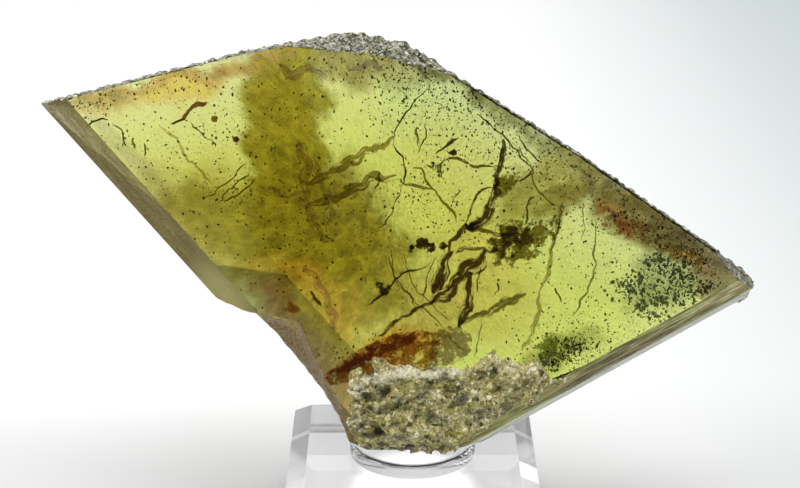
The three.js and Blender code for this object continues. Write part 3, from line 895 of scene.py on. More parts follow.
def film_material():
    """Healed cracks and stains: films of iron-brown matter, see-through, uneven and ragged."""
    material, tree = new_material("healed_crack_film")
    place = specimen_coordinates(tree)
    rim, firm, body = [
        add(tree, "ShaderNodeAttribute", attribute_name=name).outputs["Fac"]
        for name in ("rim", "firm", "body")
    ]
    shade = add(tree, "ShaderNodeAttribute", attribute_name="shade").outputs["Color"]
    run = add(tree, "ShaderNodeAttribute", attribute_name="run").outputs["Vector"]
    streak = add(tree, "ShaderNodeTexNoise", {
        "Vector": run, "Scale": 1.0, "Detail": 5.0, "Roughness": 0.65,
    }).outputs[0]
    streak = add(tree, "ShaderNodeMapRange", {
        "Value": streak, "From Min": 0.3, "From Max": 0.7, "To Min": 0.15, "To Max": 0.95,
    }).outputs[0]
    grain = add(tree, "ShaderNodeTexNoise", {
        "Vector": place, "Scale": 4.6, "Detail": 6.0, "Roughness": 0.75,
    }).outputs[0]
    inner = add(tree, "ShaderNodeMath", {0: rim, 1: rim}, operation="MULTIPLY").outputs[0]
    torn = add(tree, "ShaderNodeMath", {0: inner, 1: -0.36, 2: streak}, operation="MULTIPLY_ADD").outputs[0]
    torn = add(tree, "ShaderNodeMapRange", {
        "Value": torn, "From Min": 0.22, "From Max": 0.5, "To Min": 0.0, "To Max": 1.0,
    }, interpolation_type="SMOOTHSTEP").outputs[0]
    crisp = add(tree, "ShaderNodeMath", {0: inner, 1: -0.2, 2: streak}, operation="MULTIPLY_ADD").outputs[0]
    crisp = add(tree, "ShaderNodeMapRange", {
        "Value": crisp, "From Min": 0.2, "From Max": 0.46, "To Min": 0.15, "To Max": 1.0,
    }, interpolation_type="SMOOTHSTEP").outputs[0]
    share = add(tree, "ShaderNodeMix", {0: firm, 2: torn, 3: crisp}, data_type="FLOAT").outputs[0]
    tint = add(tree, "ShaderNodeVectorMath", {
        0: shade, 1: linear(CLEAR_YELLOW_GREEN),
    }, operation="DIVIDE").outputs[0]
    tint = add(tree, "ShaderNodeMix", {
        0: share, 6: (1, 1, 1, 1), 7: tint,
    }, data_type="RGBA", clamp_result=True).outputs[2]
    clear = add(tree, "ShaderNodeBsdfTransparent", {"Color": tint}).outputs[0]
    solid = add(tree, "ShaderNodeMapRange", {
        "Value": grain, "From Min": 0.38, "From Max": 0.62, "To Min": 0.4, "To Max": 3.0,
    }).outputs[0]
    matter = add(tree, "ShaderNodeVectorMath", {0: shade, "Scale": solid}, operation="SCALE").outputs[0]
    matter = add(tree, "ShaderNodeBsdfPrincipled", {"Base Color": matter, "Roughness": 0.5}).outputs[0]
    part = add(tree, "ShaderNodeMath", {0: share, 1: body}, operation="MULTIPLY").outputs[0]
    mixed = add(tree, "ShaderNodeMixShader", {0: part, 1: clear, 2: matter}).outputs[0]
    add(tree, "ShaderNodeOutputMaterial", {"Surface": mixed})
    return material


# Healed cracks, each along its route (u, v): width, level w at both ends, tilt across, colour, how
# firm, and how solid where that isn't a fifth.
CRACKS = [
    ([(1.4, 28.6), (0.4, 27.7), (-0.7, 26.5), (-1.3, 25.1), (-1.4, 24.1)],
     0.1, (2.4, 2.0), 0.1, "#2C2808", 1),
    ([(-1.4, 24.1), (-0.9, 23.0), (-0.5, 22.0), (-0.8, 21.2), (-0.9, 20.4)],
     0.12, (2.0, 1.6), 0.1, "#3A300A", 1),
    ([(-0.9, 20.4), (-1.5, 19.1), (-2.2, 17.9), (-2.7, 17.5)], 0.13, (1.6, 1.0), 0.1, "#2C2808", 1),
    ([(6.9, 24.5), (6.8, 23.6), (6.7, 22.6), (6.3, 21.2), (6.1, 20.6)],
     0.42, (1.8, 1.2), 0.5, "#443608", 0.8),
    ([(6.1, 20.7), (5.2, 20.4), (4.7, 19.6), (4.3, 18.6), (4.2, 18.0)],
     0.18, (1.4, 0.6), 0.3, "#54460C", 1),
    ([(6.4, 20.8), (6.2, 19.6), (5.9, 18.7), (5.1, 18.0), (4.2, 17.8)],
     0.9, (1.2, 0.4), 0.6, "#54420E", 0.4),
    ([(5.4, 18.1), (4.4, 17.8), (3.6, 17.2), (2.9, 16.4), (2.6, 15.8)],
     0.5, (0.9, 0.2), 0.4, "#4E3E0C", 0.7),
    ([(2.9, 15.8), (2.5, 15.1), (2.1, 14.2), (1.8, 13.2), (1.6, 12.4)],
     1.1, (0.6, -0.4), 0.6, "#46340A", 0.4),
    ([(1.9, 15.4), (1.3, 14.2), (1.0, 12.9), (0.8, 11.7)], 0.1, (0.6, -0.2), 0.1, "#3E3608", 1),
    ([(3.0, 15.9), (2.8, 14.9), (2.7, 13.8), (2.5, 12.9)], 0.12, (0.6, -0.2), 0.1, "#3E3608", 1),
    ([(5.6, 15.8), (4.6, 14.7), (3.6, 13.4), (2.6, 12.5), (1.2, 11.8)],
     1.1, (1.2, 0.2), 0.5, "#4A3A0C", 0.4),
    ([(1.6, 12.0), (0.4, 11.3), (-0.9, 10.5), (-2.7, 9.0)], 0.35, (0.2, -0.6), 0.3, "#54480C", 0.8),
    ([(4.6, 14.0), (4.4, 13.0), (4.4, 12.0), (4.1, 10.8), (3.6, 9.8)],
     0.8, (0.6, 0.0), 0.3, "#4A3A0C", 0.4),
    ([(5.2, 14.6), (5.1, 13.4), (4.9, 12.4)], 0.11, (0.6, 0.0), 0.1, "#4E4008", 1),
    ([(-3.6, 11.4), (-2.6, 12.2), (-1.6, 13.3), (-0.6, 14.1), (1.4, 14.7)],
     0.18, (0.4, 0.0), 0.3, "#54460C", 0.8),
    ([(-0.1, 22.3), (0.5, 22.2), (1.1, 21.2), (2.0, 20.1), (2.9, 19.0), (3.2, 18.2)],
     0.18, (1.6, 1.0), 0.2, "#7E7620", 1),
    ([(3.6, 20.7), (3.2, 20.3), (3.1, 19.5)], 0.1, (1.2, 1.0), 0.1, "#4A4210", 1),
    ([(7.7, 21.2), (8.3, 21.4), (9.0, 22.3)], 0.13, (1.6, 1.6), 0.1, "#2C2808", 1),
    ([(9.3, 20.3), (8.9, 19.2), (8.6, 17.8)], 0.16, (1.2, 0.8), 0.2, "#4E4812", 0.8),
    ([(11.6, 19.6), (11.3, 18.4), (11.2, 17.5), (10.8, 16.0), (10.7, 14.5), (9.9, 12.6)],
     0.35, (1.2, 0.6), 0.5, "#A8A648", 0.5),
    ([(11.5, 19.2), (11.2, 17.3), (10.7, 15.6)], 0.1, (1.2, 0.6), 0.1, "#3E3A10", 1),
    ([(9.9, 12.6), (9.7, 10.6), (9.4, 9.1), (8.6, 7.8)], 0.32, (0.6, 0.0), 0.4, "#AAAA50", 0.5),
    ([(14.1, 17.8), (14.2, 16.2), (14.1, 14.5), (13.8, 13.0), (13.2, 11.6), (12.6, 10.7)],
     0.15, (1.2, 0.6), 0.2, "#83843C", 1),
    ([(13.0, 19.6), (13.1, 18.2), (13.0, 16.8)], 0.1, (1.4, 1.2), 0.1, "#9C9A50", 1),
    ([(11.1, 12.8), (11.3, 12.3), (11.7, 11.7)], 0.18, (1.0, 1.0), 0.1, "#2E2808", 1),
    ([(-1.6, 16.0), (-1.1, 13.2), (0.6, 11.4), (2.5, 9.6)], 0.12, (-0.4, -1.0), 0.1, "#8A7E20", 1),
    ([(-0.9, 15.8), (-0.3, 13.6), (1.2, 11.8), (3.0, 10.2)], 0.1, (-0.4, -1.0), 0.1, "#8A7E20", 1),
    ([(-2.2, 16.2), (-1.5, 14.4), (-0.6, 12.6), (0.9, 10.8)], 0.1, (-0.4, -1.0), 0.1, "#8A7E20", 1),
    ([(5.3, 10.2), (5.2, 8.8), (4.7, 7.3)], 0.1, (1.0, 0.6), 0.1, "#6A641C", 1),
    ([(5.0, 26.4), (5.9, 25.7), (7.1, 24.6), (8.8, 22.5)], 0.12, (1.8, 1.4), 0.3, "#5A5A1C", 1),
    ([(7.6, 24.4), (8.8, 22.9), (9.7, 20.6), (11.3, 19.1)], 0.1, (1.4, 1.0), 0.3, "#8A8A34", 1),
    ([(8.2, 24.6), (9.0, 23.6), (9.6, 22.9)], 0.1, (1.4, 1.0), 0.3, "#6A6A20", 1),
    ([(-17.9, 25.9), (-17.3, 26.5), (-16.7, 27.0), (-15.9, 27.5)],
     0.32, (2.0, 2.0), 0.2, "#6A4E10", 0.8),
    ([(-18.4, 25.7), (-18.0, 25.9), (-17.7, 26.1)], 0.14, (2.0, 2.0), 0.2, "#3A3008", 1),
    ([(-17.2, 26.0), (-16.2, 25.0), (-15.3, 24.0)], 0.09, (2.0, 1.8), 0.1, "#4A4410", 1),
    ([(-19.6, 25.8), (-18.4, 24.4), (-16.9, 22.6), (-15.6, 21.0)], 0.3, (0.4, 0.0), 0.2, "#B4B04A", 0),
    ([(-15.9, 19.9), (-14.4, 21.2), (-12.8, 22.6)], 0.1, (1.6, 1.2), 0.1, "#6A6014", 1),
    ([(-15.2, 19.6), (-14.0, 20.8), (-12.6, 21.9)], 0.12, (1.6, 1.2), 0.1, "#6A6014", 0.7),
    ([(-14.6, 19.5), (-13.4, 20.4), (-12.0, 21.4)], 0.12, (1.6, 1.2), 0.1, "#6A6014", 1),
    ([(-25.2, 25.6), (-24.4, 25.9), (-23.2, 26.0)], 0.12, (2.2, 2.2), 0.1, "#3A3408", 1),
    ([(-22.9, 25.7), (-22.4, 25.1), (-22.1, 24.4), (-21.9, 23.9)], 0.14, (2.0, 2.0), 0.1, "#4A4410", 1),
    ([(-21.6, 24.6), (-21.4, 24.2), (-21.3, 23.7)], 0.21, (2.0, 2.0), 0.1, "#6A6414", 0.5),
    ([(-20.8, 24.2), (-20.7, 23.8), (-20.7, 23.3)], 0.14, (2.0, 2.0), 0.1, "#4A4410", 1),
    ([(0.8, 25.9), (1.0, 24.9), (0.8, 24.2), (0.4, 23.5)], 0.1, (2.0, 2.0), 0.1, "#4A4210", 1),
    ([(0.4, 25.6), (0.3, 24.6), (0.4, 23.8)], 0.22, (2.0, 2.0), 0.1, "#6A6018", 0.5),
    ([(1.5, 23.3), (2.3, 24.0), (3.5, 24.6)], 0.26, (1.8, 1.8), 0.2, "#4C420C", 0.6),
    ([(2.5, 23.3), (2.2, 22.2), (1.9, 21.2)], 0.13, (1.6, 1.4), 0.2, "#3E3008", 1),
    ([(2.4, 23.0), (3.6, 22.9), (4.8, 22.4), (6.2, 22.3)], 0.26, (1.6, 1.4), 0.2, "#6A621A", 0),
    ([(-8.4, 21.0), (-5.8, 22.3), (-4.2, 23.3), (-2.9, 23.9), (-1.5, 24.7)],
     0.8, (1.4, 1.4), 0.3, "#989030", 0),
    ([(-8.4, 19.2), (-5.8, 20.1), (-4.2, 21.0), (-2.9, 21.7), (-1.4, 21.6)],
     0.8, (1.2, 1.2), 0.3, "#989030", 0),
    ([(-3.4, 21.6), (-1.6, 21.3), (0.4, 20.9), (1.4, 20.6)], 0.3, (1.2, 1.2), 0.3, "#8A8230", 0),
    ([(-2.5, 22.1), (-2.7, 21.4), (-2.9, 20.7)], 0.18, (1.4, 1.4), 0.2, "#4E3E0A", 0.8),
    ([(-7.9, 12.6), (-7.6, 12.0), (-7.2, 11.6)], 0.3, (1.4, 1.4), 0.1, "#5A4A10", 0.6),
    ([(3.6, 9.9), (4.6, 10.3), (6.2, 11.2), (7.4, 11.8), (9.0, 12.3)],
     0.7, (1.0, 1.0), 0.3, "#7A7428", 0.3),
    ([(3.2, 15.6), (4.6, 15.9), (6.2, 15.8), (7.2, 16.4)], 0.4, (1.0, 1.0), 0.3, "#7A7430", 0),
    ([(4.2, 17.9), (5.6, 17.4), (7.0, 17.0), (8.2, 17.2)], 0.4, (1.0, 1.0), 0.3, "#7E7630", 0),
    ([(6.3, 12.2), (6.6, 13.0), (6.5, 13.4)], 0.14, (1.4, 1.4), 0.1, "#3E3608", 0.8),
    ([(2.6, 9.4), (3.4, 8.4), (4.2, 7.6)], 0.1, (1.4, 1.4), 0.1, "#6A621A", 1),
    ([(-8.9, 24.4), (-8.3, 22.2), (-8.5, 20.4), (-7.6, 18.0), (-6.6, 16.4)],
     0.9, (2.4, 2.0), 0.2, "#C4BE94", 0, 0.22),
    ([(-7.6, 23.2), (-6.9, 21.0), (-6.4, 19.4), (-6.6, 17.6)], 0.5, (2.4, 2.2), 0.2, "#C8C4A0", 0, 0.25),
    ([(-11.2, 20.8), (-9.8, 20.2), (-8.2, 20.6)], 0.6, (2.4, 2.2), 0.2, "#C0BA8C", 0, 0.18),
    ([(-8.6, 14.6), (-7.2, 13.2), (-6.4, 11.2), (-6.0, 9.4)], 0.7, (2.2, 1.8), 0.2, "#C4B88C", 0, 0.2),
    ([(-10.2, 30.4), (-9.4, 29.4), (-8.0, 29.9), (-6.6, 29.2)], 0.7, (2.2, 2.2), 0.2, "#C4BE94", 0, 0.2),
    ([(-4.8, 29.6), (-3.6, 30.3), (-2.4, 29.8)], 0.5, (2.4, 2.4), 0.2, "#C8C4A0", 0, 0.22),
]
# Rounded blebs: centre, radius, level w, colour.
BLEBS = [
    ((0.7, 16.4), 0.5, 1.0, "#6A5816"), ((1.4, 16.1), 0.36, 1.0, "#66541A"),
    ((2.3, 16.2), 0.3, 1.0, "#66541A"), ((-0.1, 16.1), 0.2, 1.0, "#54460A"),
    ((-0.2, 15.8), 0.18, 1.0, "#54460A"), ((3.1, 23.5), 0.26, 1.6, "#6A5A12"),
    ((-15.2, 26.1), 0.26, 2.0, "#A89C34"), ((-13.6, 24.5), 0.24, 1.8, "#7A6010"),
]
# Flat flakes: outline (u, v), level w, colour, how firm, how solid.
FLAKES = [
    ([(6.1, 21.2), (7.2, 21.9), (8.2, 21.9), (7.9, 21.0), (7.2, 20.2), (6.4, 20.1)],
     1.6, "#77730F", 1, 0.1),
    ([(0.9, 22.6), (1.5, 22.5), (2.1, 22.7), (2.0, 21.9)], 1.5, "#4A3E08", 1, 0.2),
    ([(1.6, 9.4), (2.6, 9.8), (3.8, 9.7), (4.6, 8.9), (4.4, 7.6), (3.2, 6.8), (1.4, 6.8)],
     1.9, "#9A9050", 1, 0.35),
    ([(-9.8, 12.2), (-8.6, 10.9), (-10.2, 11.0)], 1.5, "#B08C24", 0, 0.1),
    ([(9.6, 8.2), (10.6, 9.3), (12.0, 8.9), (12.9, 7.9), (12.0, 7.0), (10.2, 6.8)],
     2.0, "#7E8A2C", 0, 0.2),
    ([(5.7, 16.9), (6.9, 18.3), (8.4, 18.3), (10.8, 18.6), (11.4, 18.0), (10.8, 16.4), (9.4, 15.0),
      (7.8, 14.4), (6.4, 14.8), (5.6, 15.8)], 1.5, "#76701A", 0, 0.1),
    ([(5.4, 16.2), (6.6, 17.8), (8.4, 17.9), (9.8, 17.2), (8.4, 15.6), (6.6, 15.0)],
     0.7, "#6A6014", 0, 0.15),
    ([(-2.9, 13.4), (-1.6, 13.2), (-1.6, 12.2), (-2.8, 12.2)], 0.8, "#4A400C", 0, 0.25),
    ([(-7.8, 4.9), (-6.4, 6.3), (-4.6, 7.7), (-2.6, 8.8), (-0.4, 9.3), (1.4, 9.5), (1.8, 8.0),
      (1.2, 6.2), (-3.2, 5.6)],
     2.1, "#B48C2C", 0.9, 0.6),
    ([(-7.8, 5.3), (-5.6, 7.0), (-3.4, 8.5), (-0.6, 9.3), (1.5, 9.5), (0.6, 8.6), (-2.2, 7.7), (-5.0, 6.2)],
     2.35, "#A86E22", 0.4, 0.45),
    ([(14.2, 19.5), (16.4, 19.0), (19.4, 17.4), (18.6, 16.4), (16.4, 16.6), (14.6, 18.0)],
     1.8, "#C0A850", 0, 0.15),
    ([(18.0, 17.6), (20.8, 16.6), (23.6, 14.6), (22.4, 13.8), (19.8, 15.2), (18.0, 16.4)],
     1.8, "#A89E48", 0, 0.2),
]

IRON_TONES = ["#2A2408", "#4A3C10", "#1E1A06", "#5A4A18"]
# The crystal's own colour darkens what lies in it, so the chlorite has pale tones.
CHLORITE_TONES = ["#BCC496", "#D0D6B0", "#A0A878", "#DEE2C4", "#B2BA8A"]
# Where the specks and the chlorite crowd: centre (u, v), reach along u and v, share.
SPECKS = [
    ((-3, 16), (26, 14), 0.14), ((14, 14), (5, 7), 0.35), ((1, 19.5), (4, 3), 0.35),
    ((-20, 23), (4, 4), 0.4),
    ((1.6, 27.8), (4.8, 2.6), 2.0), ((7.4, 24.8), (3.4, 2.0), 1.4), ((-1.0, 29.8), (5.5, 1.2), 1.8),
    ((4.7, 28.1), (0.7, 0.9), 4.0), ((-24.4, 27.5), (1.1, 0.8), 5.0), ((-15.0, 25.0), (2.4, 2.4), 0.7),
    ((-19, 28.6), (6, 0.8), 1.2), ((12.5, 19.5), (3.0, 2.2), 0.6), ((13.2, 8.8), (3.2, 1.6), 1.4),
    ((10.4, 22.8), (4.0, 0.9), 1.4), ((18.0, 18.4), (4.4, 0.9), 2.6), ((22.5, 15.6), (2.6, 1.0), 2.8),
    ((11.6, 7.4), (2.6, 0.9), 3.0), ((-9.8, 25), (3, 7), 0.25), ((-8, 18), (6, 4), 0.3),
    ((0.4, 20.6), (1.6, 1.6), 1.2), ((6.4, 21.6), (0.9, 1.6), 1.4), ((4.2, 17.4), (2.0, 1.2), 1.0),
    ((8.4, 16.8), (2.4, 1.6), 0.35), ((2.0, 23.2), (1.8, 1.0), 1.2), ((-13.6, 20.4), (1.4, 1.0), 1.2),
    ((5.0, 27.8), (2.0, 0.7), 1.6), ((8.0, 25.9), (2.0, 0.7), 1.6), ((11.0, 24.0), (2.0, 0.7), 1.6),
    ((14.0, 22.0), (2.0, 0.7), 2.2), ((17.0, 20.0), (2.0, 0.7), 2.6), ((20.0, 17.9), (2.0, 0.7), 2.6),
    ((23.0, 15.8), (2.0, 0.7), 2.6), ((-4.6, 7.4), (1.6, 0.6), 3.0), ((-1.6, 8.4), (2.0, 0.6), 3.0),
]
CHLORITE = [
    ((19.4, 12.9), (3.4, 2.2), 0.22), ((18.8, 14.9), (0.8, 0.5), 1.3), ((17.7, 13.6), (0.7, 0.5), 1.0),
    ((17.0, 12.5), (0.7, 0.5), 1.0), ((19.2, 12.0), (0.7, 0.5), 1.2), ((21.2, 13.8), (0.8, 0.4), 1.2),
    ((21.7, 12.7), (0.7, 0.5), 1.0), ((17.8, 11.4), (0.6, 0.4), 0.9), ((16.2, 13.4), (0.5, 0.4), 0.8),
    ((20.3, 12.9), (0.7, 0.4), 1.0), ((20.1, 14.4), (0.9, 0.4), 1.0), ((18.7, 10.7), (0.6, 0.4), 0.8),
    ((22.8, 13.0), (0.5, 0.4), 1.0), ((15.4, 15.0), (0.5, 0.4), 0.4), ((10.4, 6.9), (0.9, 0.5), 1.6),
    ((12.9, 8.4), (0.8, 0.5), 0.9),
]


# ---------------------------------------------------------------- matrix crust

# Lumps of loose grains in the gaps of the rock, at its right end and along its foot: centre and radius.
LOOSE_LUMPS = [
    ((5.2, 6.0, 3.2), 0.75), ((-2.4, 5.0, 3.2), 0.75), ((11.3, 5.6, 3.0), 0.5), ((11.9, 5.9, 3.0), 0.35),
    ((-4.5, 1.5, 3.1), 0.55), ((-3.8, 0.9, 3.1), 0.6), ((-3.0, 0.5, 3.0), 0.6), ((-2.0, 0.3, 3.0), 0.6),
    ((-0.9, 0.3, 3.0), 0.55), ((0.2, 0.25, 3.0), 0.6), ((1.3, 0.3, 3.0), 0.55), ((2.4, 0.3, 3.0), 0.6),
    ((3.4, 0.5, 3.0), 0.55),
]
GRAIN = 0.42  # how wide one grain of the rock is
LAYER = 1.7  # how far apart the edges of its layers lie
MELT = 0.17  # the grid on which the lumps are melted together
ROCK_COVER = 0.08  # the rock stands at least this far out of the crystal's face
GRAIN_SINK = 0.08  # the loose grains on it lie up to this deep


def rock_height(place):
    """How far the rock stands out at a place, and the tone of the grain there."""
    distances, cells = noise.voronoi(place / GRAIN)
    # A fixed number from 0 to 1 for each grain, from where its middle lies.
    chance = (math.sin(cells[0].dot(Vector((12.9, 78.2, 37.7)))) * 43758.5) % 1
    grain = 0.16 * (chance - 0.5) + 0.10 * (0.5 - distances[0])
    along = place.y * 0.95 - place.x * 0.2 + 2.0 * noise.noise(place * 0.3)
    layer = 0.3 * ((along / LAYER) % 1 - 0.5) * max(0.0, 0.35 + 1.6 * noise.noise(place * 0.4))
    pit = noise.noise(place * 0.8 + Vector((3, 7, 1)))
    pit = -0.7 * max(0.0, pit - 0.18)
    lump = 0.2 * noise.noise(place * 0.5) + 0.16 * noise.noise(place * 1.3)
    return grain + layer + pit + lump + 0.05 * noise.noise(place * 5), chance


# Where the rock is paler and where it is olive, as centre (u, v), reach along u and v, share. Along
# the ledge's top edge the paleness is painted light on the lit ledge; lower down it is pale grains.
PALE_GRAINS_AND_LIT_LEDGE = [
    ((-4.7, 5.3), (1.0, 0.5), 1.0), ((-2.8, 6.1), (1.3, 0.4), 1.0), ((-0.6, 6.6), (1.8, 0.35), 1.0),
    ((2.2, 6.6), (1.8, 0.35), 1.0), ((7.4, 7.0), (3.4, 0.5), 0.5), ((4.6, 3.0), (3.4, 1.4), 0.35),
    ((-1.6, 1.2), (3.0, 0.8), 0.4), ((-4.6, 3.2), (1.4, 1.0), 0.5),
]
OLIVE_ROCK = [
    ((0.8, 5.6), (2.6, 0.6), 1.0), ((8.6, 5.7), (2.8, 0.9), 0.5), ((-1.4, 4.1), (1.8, 0.5), 0.9),
    ((3.7, 4.0), (1.8, 0.6), 0.8), ((4.8, 1.3), (2.0, 0.6), 0.8), ((-3.9, 1.5), (1.2, 0.6), 0.9),
]


def melted_lumps():
    """The crust's lumps and the loose ones, melted together into one smooth body."""
    shape = bmesh.new()
    shape.from_mesh(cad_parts["matrix_crust"].data)
    bmesh.ops.remove_doubles(shape, verts=shape.verts, dist=1e-7)
    for spot, radius in LOOSE_LUMPS:
        bmesh.ops.create_icosphere(
            shape, subdivisions=2, radius=radius * MM, matrix=Matrix.Translation(TO_WORLD @ Vector(spot)),
        )
    mesh = bpy.data.meshes.new("lumps")
    shape.to_mesh(mesh)
    piece = mesh_object("lumps", mesh)
    melt = piece.modifiers.new("melt", "REMESH")
    melt.mode = "VOXEL"
    melt.voxel_size = MELT * MM
    ease = piece.modifiers.new("ease", "SMOOTH")
    ease.iterations = 18
    ease.factor = 0.8
    depsgraph = bpy.context.evaluated_depsgraph_get()
    melted = bpy.data.meshes.new_from_object(piece.evaluated_get(depsgraph), depsgraph=depsgraph)
    bpy.data.objects.remove(piece)
    return melted


def crust_mesh():
    """The crust's own body: the melted lumps, roughened by grains, layers and pits."""
    shape = bmesh.new()
    shape.from_mesh(melted_lumps())
    shape.normal_update()
    layers = shape.verts.layers.float
    crowding, room, tone, height, pale, olive = [
        layers.new(name) for name in ("crowding", "room", "tone", "height", "pale", "olive")
    ]
    for vertex in shape.verts:
        place = TO_SPECIMEN @ vertex.co
        rise, vertex[tone] = rock_height(place)
        vertex[height] = rise
        vertex[pale] = min(1.0, crowd(place.x, place.y, PALE_GRAINS_AND_LIT_LEDGE))
        vertex[olive] = min(1.0, crowd(place.x, place.y, OLIVE_ROCK))
        facing = -vertex.normal.dot(INTO_CRYSTAL)
        vertex.co += vertex.normal * rise * MM
        # A pit doesn't reach down through the rock into the crystal's face.
        short = FRONT_W + ROCK_COVER - (TO_SPECIMEN @ vertex.co).z
        if facing > 0.2 and place.z > FRONT_W - 0.05 and short > 0:
            vertex.co -= INTO_CRYSTAL * short
        # Loose grains lie on what faces the front and stands out, sunk a little.
        vertex[crowding] = max(0.0, min(1.0, (facing + 0.35) * 2)) * max(0.1, min(1.0, 0.6 + 2.5 * rise))
        vertex[room] = GRAIN_SINK * MM
    mesh = bpy.data.meshes.new("crust_core")
    shape.to_mesh(mesh)
    return mesh


ROCK_TONES = [
    "#B8AE7C", "#8C843E", "#9C9467", "#CFC896", "#757028", "#A89E69", "#5C581F", "#DDD8AA", "#948C4A",
    "#B4AA75", "#7C7A47", "#C4B881", "#868032", "#3C3811", "#A29C78", "#A08C4C", "#E4DFB3", "#6E6A2D",
]
LIGHTEST_ROCK = (0.9, 0.88, 0.7)


def rock_material():
    """Crumbly granular rock: pale grains like calcite and feldspar, with olive ones in the hollows."""
    material, tree = new_material("granular_rock")
    place = specimen_coordinates(tree)
    tone = add(tree, "ShaderNodeAttribute", attribute_name="tone").outputs["Fac"]
    height = add(tree, "ShaderNodeAttribute", attribute_name="height").outputs["Fac"]
    shade = stepped_tones(tree, tone, ROCK_TONES)
    wide = add(tree, "ShaderNodeTexNoise", {"Vector": place, "Scale": 1.1, "Detail": 4.0}).outputs[0]
    # The pale tint is partly painted light along the ledge's top edge, and partly pale grains.
    for zone, tint in (("olive", "#77762C"), ("pale", "#E6E0C2")):
        share = add(tree, "ShaderNodeAttribute", attribute_name=zone).outputs["Fac"]
        share = add(tree, "ShaderNodeMath", {0: share, 1: wide}, operation="MULTIPLY").outputs[0]
        share = add(tree, "ShaderNodeMapRange", {
            "Value": share, "From Min": 0.12, "From Max": 0.5, "To Min": 0.0, "To Max": 0.75,
        }).outputs[0]
        shade = add(tree, "ShaderNodeMix", {
            0: share, 6: shade, 7: (*linear(tint), 1),
        }, data_type="RGBA").outputs[2]
    fine = add(tree, "ShaderNodeTexNoise", {
        "Vector": place, "Scale": 4.5, "Detail": 5.0, "Roughness": 0.7,
    }).outputs[0]
    light = add(tree, "ShaderNodeMapRange", {
        "Value": fine, "From Min": 0.34, "From Max": 0.66, "To Min": 0.6, "To Max": 1.6,
    }).outputs[0]
    # Painted shade and light: the rock is painted darker in its hollows and lighter on its tops.
    deep = add(tree, "ShaderNodeMapRange", {
        "Value": height, "From Min": -0.3, "From Max": 0.08, "To Min": 0.22, "To Max": 1.3,
    }, interpolation_type="SMOOTHSTEP").outputs[0]
    light = add(tree, "ShaderNodeMath", {0: light, 1: deep}, operation="MULTIPLY").outputs[0]
    colour = add(tree, "ShaderNodeVectorMath", {0: shade, "Scale": light}, operation="SCALE").outputs[0]
    colour = add(tree, "ShaderNodeVectorMath", {0: colour, 1: LIGHTEST_ROCK}, operation="MINIMUM").outputs[0]
    shader = add(tree, "ShaderNodeBsdfPrincipled", {"Base Color": colour, "Roughness": 0.6, "IOR": 1.6})
    add(tree, "ShaderNodeOutputMaterial", {"Surface": shader.outputs[0]})
    return material


# ---------------------------------------------------------------- stand

def clear_plastic(name, ior, roughness, tint, clarity):
    """Clear plastic with a polished or a moulded surface: it shows mostly by its bright and dark edges.

    Handling leaves a faint haze on it, so a small share scatters light.
    """
    material, tree = new_material(name)
    shader = add(tree, "ShaderNodeBsdfPrincipled", {
        "Base Color": (*linear(tint), 1), "Roughness": roughness, "IOR": ior,
        "Transmission Weight": clarity,
    })
    add(tree, "ShaderNodeOutputMaterial", {"Surface": shader.outputs[0]})
    return material


# ---------------------------------------------------------------- studio

# Paper: left, right and near tones, and between which places (in millimetres) they change.
# The right tone is painted light falloff, and the near tone is a painted shadow.
PAPER_LEFT = (0.94, 0.94, 0.94, 1)
PAPER_RIGHT_PAINTED_FALLOFF = (0.6, 0.66, 0.66, 1)
PAPER_NEAR_PAINTED_SHADOW = 0.84
PAPER_FALLOFF_X = (12, 75)
PAPER_SHADOW_Y = (8, 32)
PAPER_CORNERS = [(-700, -140), (700, -140), (700, 600), (-700, 600)]
PAPER_LEVEL = -0.05
# The light pad lies between the paper and the block, inside its outline. It is brighter under the soft
# pad's foot, which would else look grey.
LIGHT_PAD_LEVEL = -0.03
LIGHT_PAD_INSET = 0.8
PAD_GLOW = 0.8
FOOT_GLOW = 2.4
FOOT_REACH = (3.0, 6.0)
# Softboxes: name, place and aim in metres, size in metres, power in watts.
SOFTBOXES = [
    ("overhead_softbox", (0.03, -0.12, 0.58), (0, 0.03, 0), (0.36, 0.28), 2.0),
    ("front_softbox", (0.0, -0.42, 0.36), (0, 0, 0.02), (0.5, 0.2), 0.4),
    ("back_softbox", (-0.12, 0.34, 0.5), (-0.06, 0.24, 0), (0.45, 0.3), 0.95),
]
BACKDROP_LEVEL = 0.85
TRANSPARENT_LAYERS = 24  # how many films and grains light passes, one behind the other


def flat_sheet(name, corners, level, material):
    """A flat four-cornered sheet, its corners and its level in millimetres."""
    mesh = bpy.data.meshes.new(name)
    mesh.from_pydata([(x * MM, y * MM, level * MM) for x, y in corners], [], [(0, 1, 2, 3)])
    return mesh_object(name, mesh, material)


